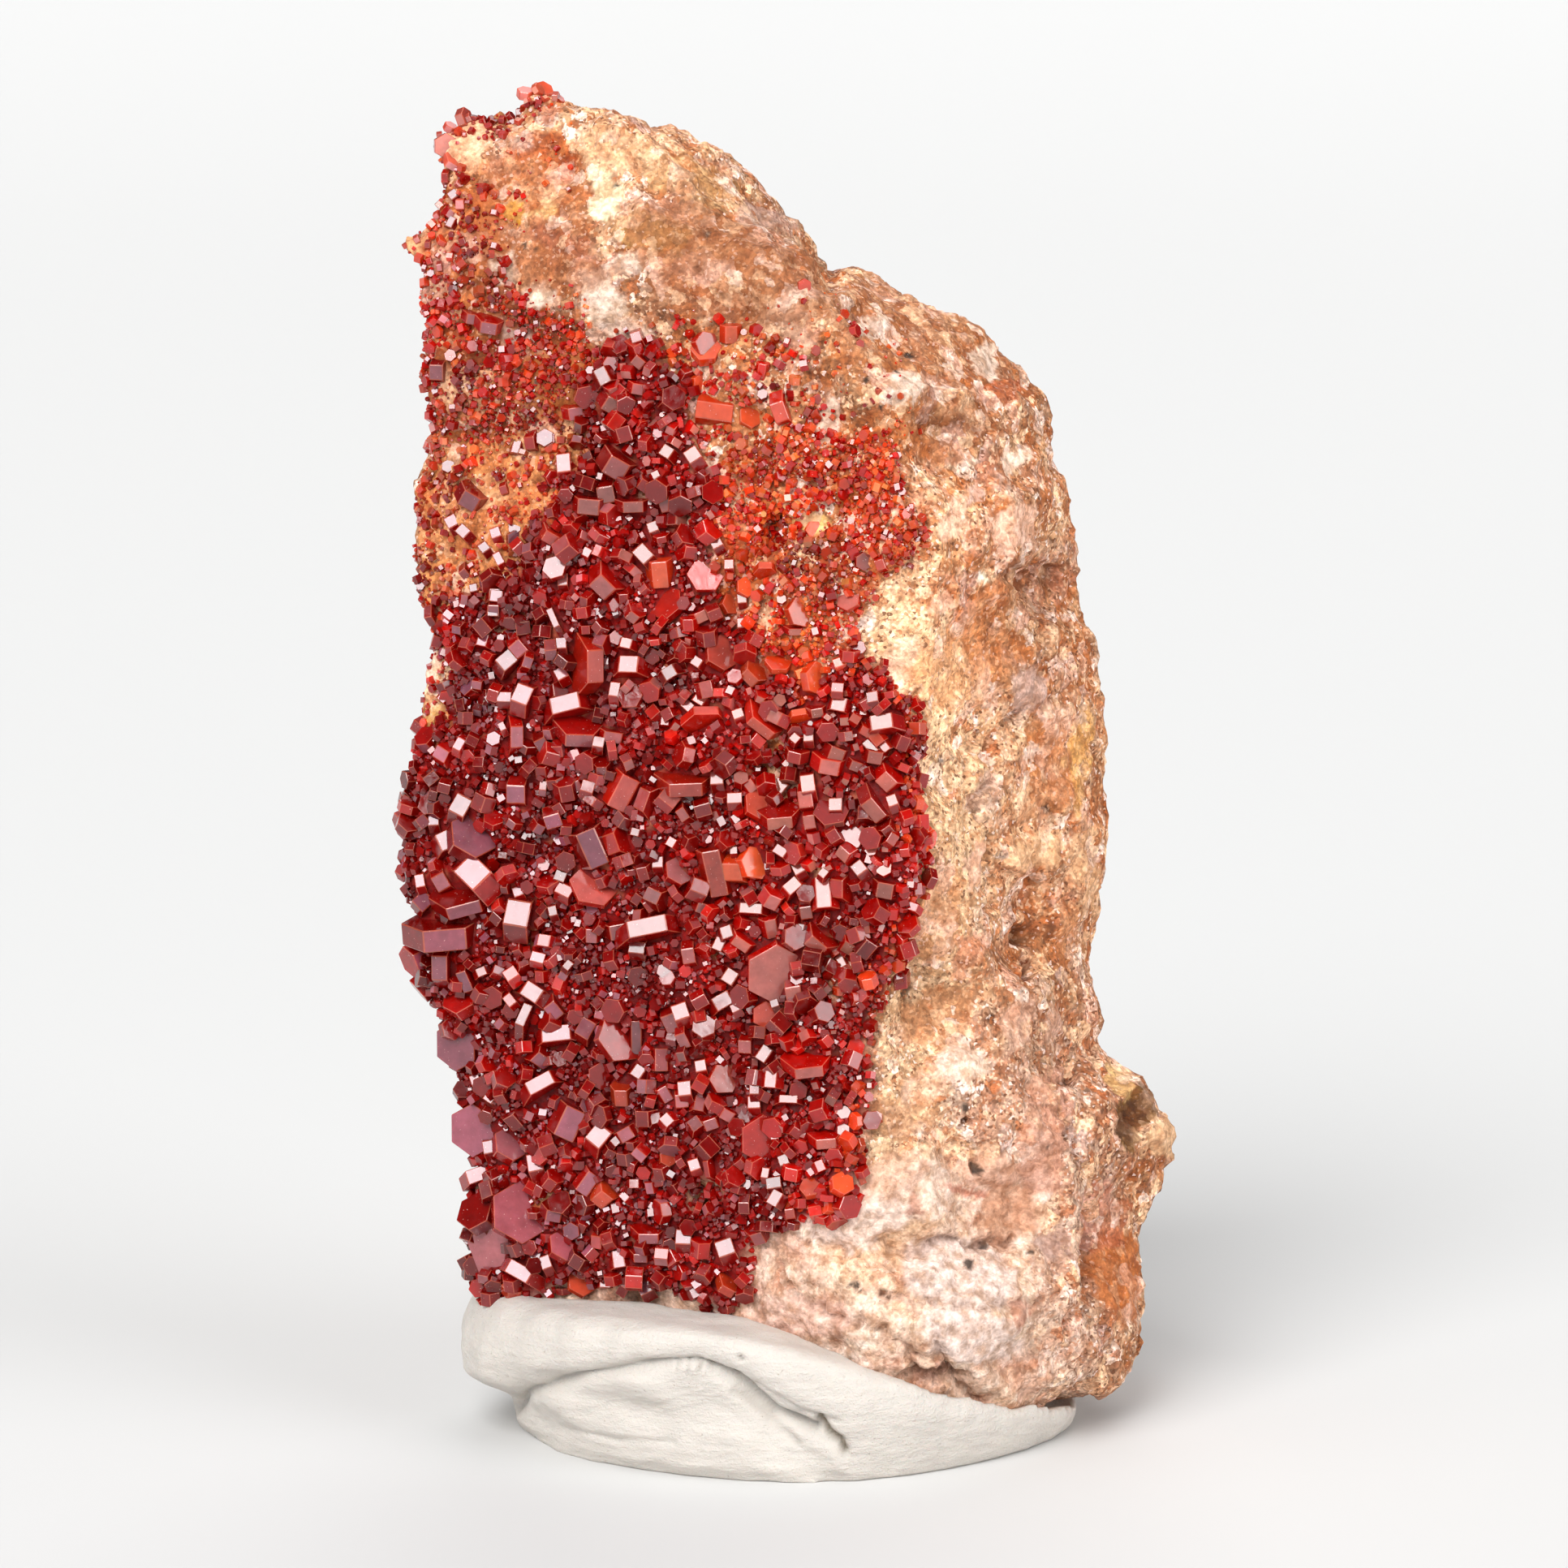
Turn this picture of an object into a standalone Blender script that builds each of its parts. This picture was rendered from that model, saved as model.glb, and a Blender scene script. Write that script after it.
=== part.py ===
"""A vanadinite specimen: red hexagonal crystals on a broken block of barite rock, stood in a lump of putty.

Metres, +Z up. The crystal face looks towards -Y and a little to -X, and the broken side face looks to +X.
The origin is on the surface that the putty stands on, under the middle of the whole.
"""

import math
import random

import bmesh
import bpy
from mathutils import Vector, noise
from mathutils.bvhtree import BVHTree

MM = 0.001
TOUCH_GAP = 0.3 * MM
PUTTY_GAP = 0.4 * MM  # the rock's underside is uneven, so this one is a little wider
FLAT_ANGLE = math.radians(1.5)  # faces that meet at less than this are one flat face

# The rock, ring by ring from its top to its foot, in millimetres. Each ring lies in a plane that falls
# from its left end to its right end. The crystal face runs from the left end to the ridge, and the
# broken side face from the ridge past the ledge to the right end.
# left x, left z, right x, right z, ridge x, ridge y, ledge x, ledge y
ROCK_RINGS = (
    (-17.0, 80.1, -7.2, 76.4, -10.4, -1.5, -8.4, 0.5),
    (-20.0, 78.3, -0.4, 73.6, -6.0, -4.5, -3.0, -2.0),
    (-20.7, 75.6, 3.4, 70.4, -3.0, -7.0, 0.5, -3.0),
    (-20.8, 72.8, 9.8, 67.3, 0.5, -9.0, 5.5, -4.0),
    (-21.6, 69.7, 13.4, 64.0, 4.0, -10.5, 9.5, -4.5),
    (-21.2, 65.0, 16.2, 60.0, 6.0, -11.5, 11.5, -5.0),
    (-21.6, 60.3, 17.8, 55.6, 6.7, -12.0, 12.5, -5.5),
    (-22.8, 56.0, 18.1, 50.6, 6.7, -12.5, 12.5, -5.5),
    (-22.5, 51.0, 18.8, 46.4, 5.6, -12.5, 12.5, -5.5),
    (-21.8, 47.0, 19.5, 42.0, 5.8, -12.5, 12.5, -5.5),
    (-22.4, 42.4, 19.9, 37.0, 7.0, -13.0, 12.0, -7.0),
    (-23.0, 38.0, 19.7, 33.0, 7.4, -13.0, 11.0, -8.0),
    (-22.4, 33.2, 18.9, 29.4, 7.0, -13.0, 12.5, -7.0),
    (-21.6, 28.9, 18.8, 25.6, 6.2, -13.0, 14.0, -6.5),
    (-20.2, 24.8, 18.7, 21.4, 5.6, -13.2, 15.0, -7.0),
    (-19.4, 20.7, 24.0, 17.2, 5.0, -13.5, 16.5, -7.5),
    (-19.2, 16.8, 22.8, 13.4, 4.5, -13.5, 17.4, -7.5),
    (-19.2, 13.5, 22.2, 9.0, 4.5, -13.5, 17.6, -8.0),
    (-19.0, 10.6, 22.4, 5.0, 5.0, -13.2, 17.6, -8.5),
    (-18.0, 8.8, 21.6, 2.2, 5.5, -12.0, 16.6, -8.5),
    (-13.0, 7.8, 17.0, 1.7, 5.0, -7.5, 12.0, -5.0),
)
# How far the rock reaches back at the height given, in millimetres: height, left end y, right end y, back y.
ROCK_DEPTHS = (
    (0.0, -2.0, -4.0, 9.5),
    (8.0, -3.5, 0.5, 13.2),
    (20.0, -4.0, 5.5, 15.4),
    (45.0, -4.0, 7.0, 15.4),
    (62.0, -3.0, 7.0, 13.6),
    (72.0, -1.5, 5.0, 10.0),
    (79.0, 1.0, 3.0, 6.0),
)
FACE_STEPS, SIDE_STEPS, LEDGE_STEPS, BACK_STEPS = 7, 4, 4, 3
RING_COUNT = 34
CORNER_BACK = 4.0  # how far the two back corners stand in from the ends
# The broken rock's lumps: their size and how far they stand out or in, in millimetres.
ROCK_LUMPS = ((12.0, 2.4), (6.0, 1.5), (3.0, 0.7))
FACE_CALM = 0.22  # the share of those lumps that the crystal face has
END_CALM = 0.7  # the share of them that the left and right ends lack
# Single lumps (+) and hollows (-) of the front and the side, seen from the front, in millimetres:
# x, z, half width, half height, how far they stand out.
ROCK_FORMS = (
    (6.6, 62.2, 2.4, 2.0, 1.2),
    (9.6, 59.6, 2.6, 1.0, -1.4),
    (13.4, 53.4, 3.0, 3.2, 1.1),
    (15.2, 50.4, 2.0, 1.4, -1.2),
    (11.6, 44.0, 1.6, 4.6, -0.9),
    (10.2, 36.0, 2.0, 5.0, 0.8),
    (14.2, 30.4, 1.6, 1.8, -1.9),
    (10.0, 22.2, 3.2, 2.4, 1.4),
    (16.6, 22.2, 1.2, 1.4, -1.1),
    (8.6, 12.6, 6.0, 0.8, -0.9),
    (8.0, 8.2, 5.0, 3.4, 1.5),
    (19.6, 13.0, 2.0, 4.0, -1.3),
    (0.2, 54.6, 1.6, 1.4, -1.1),
    (-11.0, 69.6, 4.0, 3.0, 0.9),
    (-4.6, 70.6, 2.2, 4.0, -0.8),
)

# Crystals big enough to know one by one, in millimetres and degrees, as seen from the front.
# x and z of the middle of the face that shows, the width of one side of the hexagon, the crystal's
# thickness, then the direction of its own axis: its turn from +X towards +Z, and its tilt away from
# the viewer, where 0 shows the hexagon and 90 shows a side.
BIG_CRYSTALS = (
    (-19.9, 30.0, 2.5, 1.3, 94, 84), (-7.9, 31.6, 2.2, 1.0, 102, 80), (-16.9, 11.9, 2.0, 0.9, 200, 30),
    (-18.7, 31.9, 2.0, 0.9, 105, 68), (-15.3, 14.2, 1.9, 0.9, 60, 25), (-10.9, 46.6, 1.9, 1.0, 180, 68),
    (-5.7, 39.6, 1.9, 0.9, 92, 75), (-0.4, 29.2, 1.9, 0.8, 130, 18), (-12.7, 44.4, 1.7, 1.0, -75, 70),
    (-18.2, 34.3, 1.7, 1.6, 229, 68), (-13.3, 25.0, 1.7, 0.9, -82, 68), (-18.3, 18.7, 1.6, 0.9, 180, 25),
    (-14.2, 22.0, 1.6, 0.9, -62, 48), (-11.9, 42.2, 1.6, 0.9, 88, 62), (-9.4, 25.0, 1.6, 0.8, 35, 35),
    (-1.4, 43.4, 1.6, 0.8, 52, 56), (1.4, 23.7, 1.6, 0.8, 97, 65), (-18.1, 36.5, 1.5, 1.2, 60, 40),
    (-19.3, 23.7, 1.5, 0.9, 180, 30), (-15.4, 11.5, 1.4, 0.9, 65, 75), (-15.6, 32.0, 1.5, 1.5, -12, 70),
    (-11.0, 33.9, 1.5, 0.6, 80, 40), (-1.2, 19.7, 1.4, 0.7, 0, 15), (-20.2, 28.3, 1.4, 0.9, 0, 80),
    (-21.6, 28.6, 1.4, 1.1, 200, 60), (-0.2, 37.9, 1.4, 0.8, 95, 75), (-4.5, 44.3, 1.4, 0.7, -90, 52),
    (5.1, 38.9, 1.3, 0.8, 40, 80), (-15.2, 26.0, 1.3, 0.7, -25, 65), (-1.9, 32.9, 1.3, 0.7, 88, 85),
    (-18.0, 16.1, 1.3, 0.9, -70, 55), (5.6, 44.0, 1.2, 0.9, 100, 75), (-22.0, 36.8, 1.2, 1.1, 200, 60),
    (-17.8, 12.8, 1.2, 0.9, 120, 50), (-15.6, 42.3, 1.2, 0.8, 180, 80), (-18.7, 27.6, 1.2, 0.8, 23, 75),
    (-11.4, 55.9, 1.2, 0.9, 85, 78), (-10.5, 51.3, 1.2, 1.2, 45, 62), (-8.3, 39.0, 1.2, 0.9, -20, 50),
    (-9.7, 58.2, 1.2, 1.2, 60, 80), (-12.5, 19.7, 1.2, 1.9, 65, 84), (-10.8, 19.2, 1.2, 1.1, -40, 70),
    (-18.9, 38.2, 1.1, 1.0, -30, 80), (-19.7, 36.1, 1.1, 1.1, 115, 80), (-18.5, 25.7, 1.1, 0.9, 120, 45),
    (-15.9, 18.2, 1.1, 0.8, 60, 40), (-15.3, 44.8, 1.1, 1.0, -25, 60), (-9.0, 46.8, 1.1, 1.0, -90, 80),
    (-14.7, 27.4, 1.1, 0.9, 60, 70), (-11.1, 35.9, 1.1, 2.3, 113, 82), (-6.6, 25.9, 1.1, 0.8, 25, 78),
    (-7.8, 13.3, 1.1, 0.8, 90, 75), (-6.9, 50.5, 1.1, 0.7, 130, 40), (-8.7, 56.0, 1.1, 0.8, 92, 80),
    (2.6, 41.3, 1.1, 0.9, 80, 80), (1.8, 31.0, 1.1, 0.8, 50, 70), (-4.5, 52.3, 1.1, 0.6, 90, 25),
    (-3.5, 47.8, 1.1, 0.7, 60, 30), (-0.3, 61.7, 1.1, 0.8, 20, 75), (2.8, 38.0, 1.1, 0.6, 100, 45),
    (2.4, 19.7, 1.1, 0.7, 95, 75), (-16.2, 46.8, 1.0, 0.9, -50, 70), (-15.6, 38.9, 1.0, 1.1, 0, 70),
    (-11.5, 25.4, 1.0, 0.9, -30, 68), (-14.5, 17.2, 1.0, 0.9, 10, 70), (-12.7, 12.5, 1.0, 0.8, 60, 40),
    (-9.3, 39.3, 1.0, 2.1, 63, 80), (-1.3, 39.0, 1.0, 0.7, 60, 35), (-3.1, 34.9, 1.0, 1.4, 10, 55),
    (-1.6, 35.6, 1.0, 0.8, 20, 35), (-2.5, 30.8, 1.0, 0.8, 55, 80), (-3.6, 27.5, 1.0, 0.8, -60, 75),
    (-8.2, 53.3, 1.0, 0.8, 45, 78), (1.3, 40.3, 1.0, 0.8, 8, 80), (3.0, 34.3, 1.0, 0.9, 0, 55),
    (0.2, 22.1, 1.0, 0.7, -90, 60), (2.0, 46.4, 1.0, 0.7, 10, 40), (-4.0, 34.8, 1.0, 2.8, 101, 80),
    (-20.1, 33.5, 0.9, 0.9, 30, 80), (-20.9, 32.3, 0.9, 0.9, -45, 80), (-21.2, 26.9, 0.9, 0.9, 220, 70),
    (-4.0, 61.7, 0.9, 2.2, -8, 82), (-19.9, 63.5, 0.9, 0.9, 0, 70), (2.2, 34.1, 0.9, 1.9, -83, 76),
    (-8.5, 25.0, 0.8, 2.1, 90, 80), (-14.3, 79.6, 0.8, 0.9, 30, 70), (-15.4, 79.0, 0.6, 0.7, 100, 60),
    (-12.9, 78.6, 0.6, 0.6, 60, 75), (-19.6, 78.2, 0.8, 0.7, 40, 70), (-20.2, 76.6, 0.8, 0.8, 110, 60),
    (-20.3, 75.0, 0.9, 0.9, 20, 70), (-20.0, 73.2, 0.8, 0.7, 70, 75), (-20.2, 71.8, 0.7, 0.7, 150, 70),
)
# Patches of crust as seen from the front, in millimetres: x, z round each outline.
CRUST_OUTLINE = (
    (-7.8, 65.0), (-4.6, 66.6), (-1.4, 63.9), (2.3, 60.2), (5.5, 59.6), (7.6, 54.7), (4.4, 50.1),
    (3.8, 47.2), (7.8, 43.4), (7.8, 35.8), (5.8, 29.1), (5.0, 23.2), (4.2, 17.0), (-1.4, 14.0),
    (-3.0, 10.2), (-18.4, 10.4), (-23.4, 14.0), (-23.4, 36.8), (-21.4, 40.0), (-18.6, 42.8),
    (-18.2, 50.0), (-13.4, 58.0), (-11.0, 61.6),
)
BAND_OUTLINE = (
    (-23.0, 80.5), (-18.0, 80.5), (-17.8, 74.6), (-16.4, 70.0), (-14.7, 65.2), (-15.4, 61.6), (-18.4, 59.6),
    (-23.0, 60.6),
)
CROWN_OUTLINE = ((-16.0, 77.2), (-14.6, 83.0), (-12.0, 83.0), (-12.4, 77.6))
CRUST_THICKNESS = 0.5 * MM
CRUST_ROUGHNESS = 0.9 * MM
CRUST_REACH = 12.5 * MM  # how far back from the frontmost point of the rock the crust goes
CRYSTAL_STAND = 0.85  # how far a crystal's showing face stands off the crust, of its own half depth

# Crystals grown between the big ones: how many there are at most, the least and greatest width of a
# side of their hexagons in millimetres, and the seed.
CRUST_FILL = (70, 1.2, 1.9, 11)
BAND_FILL = (15, 0.9, 1.3, 23)
CROWN_FILL = (1, 0.7, 0.9, 31)
FILL_SPACING = 0.62  # least distance between crystals, of the sum of those widths
FILL_TRIES = 4000
FILL_FACING = 0.35  # they keep off rock that turns further from the front than this, as a cosine

# The putty's foot and sides, in millimetres.
PUTTY_MIDDLE_X = 0.7
PUTTY_HALF_LENGTH, PUTTY_FRONT_DEPTH, PUTTY_BACK_DEPTH = 16.4, 15.2, 13.4
PUTTY_LEFT_BULGE, PUTTY_RIGHT_BULGE, PUTTY_FRONT_BULGE = 3.4, 0.6, 1.3
PUTTY_TOP = ((-18.0, 8.4), (-12.0, 9.0), (-5.0, 9.0), (-2.0, 8.7), (1.6, 7.8), (5.0, 6.6), (9.0, 4.9), (17.0, 2.6))
PUTTY_SIDES, PUTTY_WALL_RINGS, PUTTY_TOP_RINGS = 32, 7, 2
# The fold pressed into its front, in millimetres: x, z along it, then its half width and its depth.
PUTTY_FOLD = ((-20.0, 1.4), (-15.8, 1.9), (-13.0, 3.6), (-8.6, 4.6), (-4.0, 5.6), (-0.6, 3.2), (2.0, 2.2))
FOLD_WIDTH, FOLD_DEPTH = 1.2, 1.3

ROCK_COLOUR = (0.78, 0.55, 0.40)
CRYSTAL_COLOUR = (0.42, 0.030, 0.022)
PUTTY_COLOUR = (0.80, 0.78, 0.74)
FRONT = Vector((0, -1, 0))


def clear_scene():
    for obj in list(bpy.data.objects):
        bpy.data.objects.remove(obj)


def material(name, colour, roughness):
    made = bpy.data.materials.new(name)
    made.use_nodes = True
    shader = made.node_tree.nodes["Principled BSDF"]
    shader.inputs["Base Color"].default_value = (*colour, 1)
    shader.inputs["Roughness"].default_value = roughness
    shader.inputs["Metallic"].default_value = 0
    return made


def between(table, at):
    """Every column after the first of a table, read at a value of the first column."""
    rows = sorted(table)
    if at <= rows[0][0]:
        return rows[0][1:]
    for low, high in zip(rows, rows[1:]):
        if at <= high[0]:
            share = (at - low[0]) / (high[0] - low[0])
            return tuple(a + (b - a) * share for a, b in zip(low[1:], high[1:]))
    return rows[-1][1:]


def object_of(name, shape, finish):
    mesh = bpy.data.meshes.new(name)
    shape.to_mesh(mesh)
    shape.free()
    mesh.materials.append(finish)
    obj = bpy.data.objects.new(name, mesh)
    bpy.context.scene.collection.objects.link(obj)
    return obj


def loft(rings, name, finish):
    """One closed solid through rings of points, from the top one to the foot, each end closed by a fan."""
    shape = bmesh.new()
    rows = [[shape.verts.new(p) for p in ring] for ring in rings]
    for upper, lower in zip(rows, rows[1:]):
        for i in range(len(upper)):
            j = (i + 1) % len(upper)
            shape.faces.new((upper[i], lower[i], lower[j], upper[j]))
    for row in (rows[0], rows[-1]):
        middle = shape.verts.new(sum((v.co for v in row), Vector()) / len(row))
        for i, first in enumerate(row):
            shape.faces.new((middle, first, row[(i + 1) % len(row)]))
    bmesh.ops.triangulate(shape, faces=shape.faces[:], quad_method="FIXED")
    bmesh.ops.recalc_face_normals(shape, faces=shape.faces[:])
    return object_of(name, shape, finish)


def ring_row(at):
    """A row of ROCK_RINGS at a fractional place down the table."""
    low = min(int(at), len(ROCK_RINGS) - 2)
    share = at - low
    return [a + (b - a) * share for a, b in zip(ROCK_RINGS[low], ROCK_RINGS[low + 1])]


def rock_ring(at):
    """The points of one ring of the rock, before its relief, in millimetres."""
    left_x, left_z, right_x, right_z, ridge_x, ridge_y, ledge_x, ledge_y = ring_row(at)
    left_y, right_y, back_y = between(ROCK_DEPTHS, (left_z + right_z) / 2)
    corner = min(CORNER_BACK, (right_x - left_x) * 0.2)
    corners = (
        (left_x, left_y, FACE_STEPS),
        (ridge_x, ridge_y, SIDE_STEPS),
        (ledge_x, ledge_y, LEDGE_STEPS),
        (right_x, right_y, LEDGE_STEPS),
        (right_x - corner, back_y - 1.0, BACK_STEPS),
        ((left_x + right_x) / 2, back_y, BACK_STEPS),
        (left_x + corner, back_y - 3.0, LEDGE_STEPS),
    )
    points = []
    for (x0, y0, steps), (x1, y1, _) in zip(corners, corners[1:] + corners[:1]):
        for step in range(steps):
            share = step / steps
            points.append((x0 + (x1 - x0) * share, y0 + (y1 - y0) * share))
    fall = (right_z - left_z) / (right_x - left_x)
    rounded = []
    for i, (x, y) in enumerate(points):
        before, after = points[i - 1], points[(i + 1) % len(points)]
        x, y = (before[0] + 4 * x + after[0]) / 6, (before[1] + 4 * y + after[1]) / 6
        rounded.append(Vector((x, y, left_z + fall * (x - left_x))))
    return rounded


def relief(point, outward):
    """How far the broken surface stands out or in at a point, in millimetres."""
    facing = -outward.y
    on_crystal_face = facing > 0.8 and outward.x < 0.15
    strength = FACE_CALM if on_crystal_face else 1.0 - END_CALM * outward.x**4
    height = strength * sum(
        out * noise.noise(point / size + Vector((size, 0, 3.7))) for size, out in ROCK_LUMPS
    )
    if facing > 0.1:
        for x, z, wide, high, out in ROCK_FORMS:
            apart = math.hypot((point.x - x) / wide, (point.z - z) / high)
            height += out * max(0.0, 1 - (apart / 1.5) ** 2)
    return height


def rock_rings(offset=0.0, roughness=0.0):
    """Every ring of the rock in metres, with its relief, moved outwards by an offset that may vary."""
    last = RING_COUNT - 1
    plain = [rock_ring(i * (len(ROCK_RINGS) - 1) / last) for i in range(RING_COUNT)]
    rings = []
    for i, ring in enumerate(plain):
        above, below = plain[max(i - 1, 0)], plain[min(i + 1, last)]
        moved = []
        for j, point in enumerate(ring):
            along = ring[(j + 1) % len(ring)] - ring[j - 1]
            down = below[j] - above[j]
            outward = down.cross(along).normalized()
            end_share = 1 if i in (0, last) else 0
            outward = (outward + Vector((0, 0, end_share if i == 0 else -end_share))).normalized()
            out = offset + roughness * abs(noise.noise(point * 0.9))
            moved.append((point + outward * relief(point, outward)) * MM + outward * out)
        rings.append(moved)
    return rings


def hexagon_prism(shape, middle, axis, side_face, width, thickness):
    """A closed hexagonal prism whose sides are as wide as given. One of them looks along side_face."""
    across = axis.cross(side_face)
    ends = []
    for end in (-0.5, 0.5):
        ring = []
        for corner in range(6):
            turn = math.radians(30 + 60 * corner)
            out = side_face * math.cos(turn) + across * math.sin(turn)
            ring.append(shape.verts.new(middle + axis * (end * thickness) + out * width))
        ends.append(ring)
    low, high = ends
    shape.faces.new(tuple(reversed(low)))
    shape.faces.new(tuple(high))
    for i in range(6):
        j = (i + 1) % 6
        shape.faces.new((low[i], low[j], high[j], high[i]))


def inside(outline, x, z):
    crossings = False
    for (x0, z0), (x1, z1) in zip(outline, outline[1:] + outline[:1]):
        if (z0 > z) != (z1 > z) and x < x0 + (x1 - x0) * (z - z0) / (z1 - z0):
            crossings = not crossings
    return crossings


def seen_axis(turn, tilt):
    """A crystal's axis from its turn in the front view and its tilt away from the viewer, in degrees."""
    turn, tilt = math.radians(turn), math.radians(tilt)
    flat = Vector((math.cos(turn), 0, math.sin(turn)))
    return flat * math.sin(tilt) + FRONT * math.cos(tilt)


def filling_crystals(outline, fill, taken, rock_surface):
    """Seeded crystals inside an outline, clear of those already there, in the form of BIG_CRYSTALS."""
    most, least_width, most_width, seed = fill
    chance = random.Random(seed)
    xs, zs = [p[0] for p in outline], [p[1] for p in outline]
    found = []
    for _ in range(FILL_TRIES):
        x, z = chance.uniform(min(xs), max(xs)), chance.uniform(min(zs), max(zs))
        width = least_width + (most_width - least_width) * chance.random() ** 2
        thickness = width * chance.uniform(0.7, 1.2)
        turn, tilt = chance.uniform(0, 360), chance.choice((30, 60, 72, 80, 86))
        crowded = any(
            math.hypot(x - other[0], z - other[1]) < FILL_SPACING * (width + other[2])
            for other in (*taken, *found)
        )
        hit, normal, _, _ = rock_surface.ray_cast(Vector((x, -60, z)) * MM, -FRONT)
        if inside(outline, x, z) and hit is not None and normal.dot(FRONT) > FILL_FACING and not crowded:
            found.append((x, z, width, thickness, turn, tilt))
        if len(found) == most:
            break
    return found


def standing_crystals(crystals, crust_surface, finish):
    """The crystals as one object of separate prisms, each sunk in the crust where it stands."""
    shape = bmesh.new()
    for x, z, width, thickness, turn, tilt in crystals:
        hit, _, _, _ = crust_surface.ray_cast(Vector((x, -60, z)) * MM, -FRONT)
        if hit is None:
            hit, _, _, _ = crust_surface.find_nearest(Vector((x, -4, z)) * MM)
        axis = seen_axis(turn, tilt)
        side_face = (FRONT - axis * axis.dot(FRONT)).normalized()
        if tilt < 45:
            half_depth, showing = thickness * MM / 2, axis
        else:
            half_depth, showing = width * MM * math.cos(math.radians(30)), side_face
        face_middle = Vector((x * MM, hit.y - CRYSTAL_STAND * half_depth, z * MM))
        middle = face_middle - showing * half_depth
        hexagon_prism(shape, middle, axis, side_face, width * MM, thickness * MM)
    return object_of("crystals", shape, finish)


def boolean(obj, other, operation):
    """Applies one Boolean to an object and removes the other."""
    step = obj.modifiers.new(operation.lower(), "BOOLEAN")
    step.operation = operation
    step.object = other
    step.solver = "EXACT"
    step.use_self = True
    graph = bpy.context.evaluated_depsgraph_get()
    result = bpy.data.meshes.new_from_object(obj.evaluated_get(graph))
    obj.modifiers.clear()
    obj.data = result
    bpy.data.objects.remove(other)


def outline_block(outline, finish):
    """The outline as a block that runs from in front of the rock back to where the crust ends."""
    shape = bmesh.new()
    front, back = -30 * MM, -14 * MM + CRUST_REACH
    near, far = ([shape.verts.new((x * MM, y, z * MM)) for x, z in outline] for y in (front, back))
    shape.faces.new(near)
    shape.faces.new(tuple(reversed(far)))
    for i in range(len(near)):
        j = (i + 1) % len(near)
        shape.faces.new((near[j], near[i], far[i], far[j]))
    bmesh.ops.recalc_face_normals(shape, faces=shape.faces[:])
    return object_of("outline", shape, finish)


def largest_piece(obj):
    """Keeps only the largest connected piece of an object's mesh."""
    shape = bmesh.new()
    shape.from_mesh(obj.data)
    left, pieces = set(shape.verts), []
    while left:
        piece, edge = set(), [left.pop()]
        while edge:
            vert = edge.pop()
            piece.add(vert)
            for link in vert.link_edges:
                other = link.other_vert(vert)
                if other in left:
                    left.remove(other)
                    edge.append(other)
        pieces.append(piece)
    keep = max(pieces, key=len)
    bmesh.ops.delete(shape, geom=[v for v in shape.verts if v not in keep], context="VERTS")
    bmesh.ops.dissolve_limit(shape, angle_limit=FLAT_ANGLE, verts=shape.verts[:], edges=shape.edges[:])
    bmesh.ops.triangulate(shape, faces=shape.faces[:])
    shape.to_mesh(obj.data)
    shape.free()


def surface_of(obj):
    return BVHTree.FromObject(obj, bpy.context.evaluated_depsgraph_get())


def crystal_crust(name, outline, crystals, finish):
    """A thin crust on the rock with its crystals standing from it, cut clear of the rock behind it."""
    crust = loft(rock_rings(TOUCH_GAP + CRUST_THICKNESS, CRUST_ROUGHNESS), name, finish)
    crust_surface = surface_of(crust)
    boolean(crust, outline_block(outline, finish), "INTERSECT")
    boolean(crust, standing_crystals(crystals, crust_surface, finish), "UNION")
    boolean(crust, loft(rock_rings(TOUCH_GAP), "rock_copy", finish), "DIFFERENCE")
    largest_piece(crust)


def distance_to_line(x, z, start, end):
    along_x, along_z = end[0] - start[0], end[1] - start[1]
    share = ((x - start[0]) * along_x + (z - start[1]) * along_z) / (along_x**2 + along_z**2)
    share = min(1.0, max(0.0, share))
    return math.hypot(x - start[0] - along_x * share, z - start[1] - along_z * share)


def fold_depth(x, z):
    """How deep the fold in the putty is at a point of its front, in millimetres."""
    nearest = min(distance_to_line(x, z, start, end) for start, end in zip(PUTTY_FOLD, PUTTY_FOLD[1:]))
    return FOLD_DEPTH * math.exp(-((nearest / FOLD_WIDTH) ** 2))


def putty_point(turn, out, up):
    """A point of the putty: its turn about the middle, its share of the way out, its share of the way up."""
    away = Vector((math.cos(turn), math.sin(turn)))
    sideways = PUTTY_LEFT_BULGE if away.x < 0 else PUTTY_RIGHT_BULGE
    bulge = PUTTY_FRONT_BULGE + (sideways - PUTTY_FRONT_BULGE) * away.x**2
    swell = bulge * math.sin(math.pi * up**0.85 * 0.9)
    lobes = 0.35 * math.sin(3 * turn + 0.6) + 0.25 * math.sin(5 * turn + 2.0)
    x = PUTTY_MIDDLE_X + out * (PUTTY_HALF_LENGTH + swell) * away.x
    half_depth = PUTTY_FRONT_DEPTH if away.y < 0 else PUTTY_BACK_DEPTH
    y = out * (half_depth + swell + lobes) * away.y
    (top,) = between(PUTTY_TOP, x)
    z = top * math.sin(up * math.pi / 2) ** 0.9
    if out == 1.0 and up > 0 and away.y < 0.2:
        inwards = fold_depth(x, z)
        x -= inwards * away.x
        y -= inwards * away.y
    return Vector((x, y, z)) * MM


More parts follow.
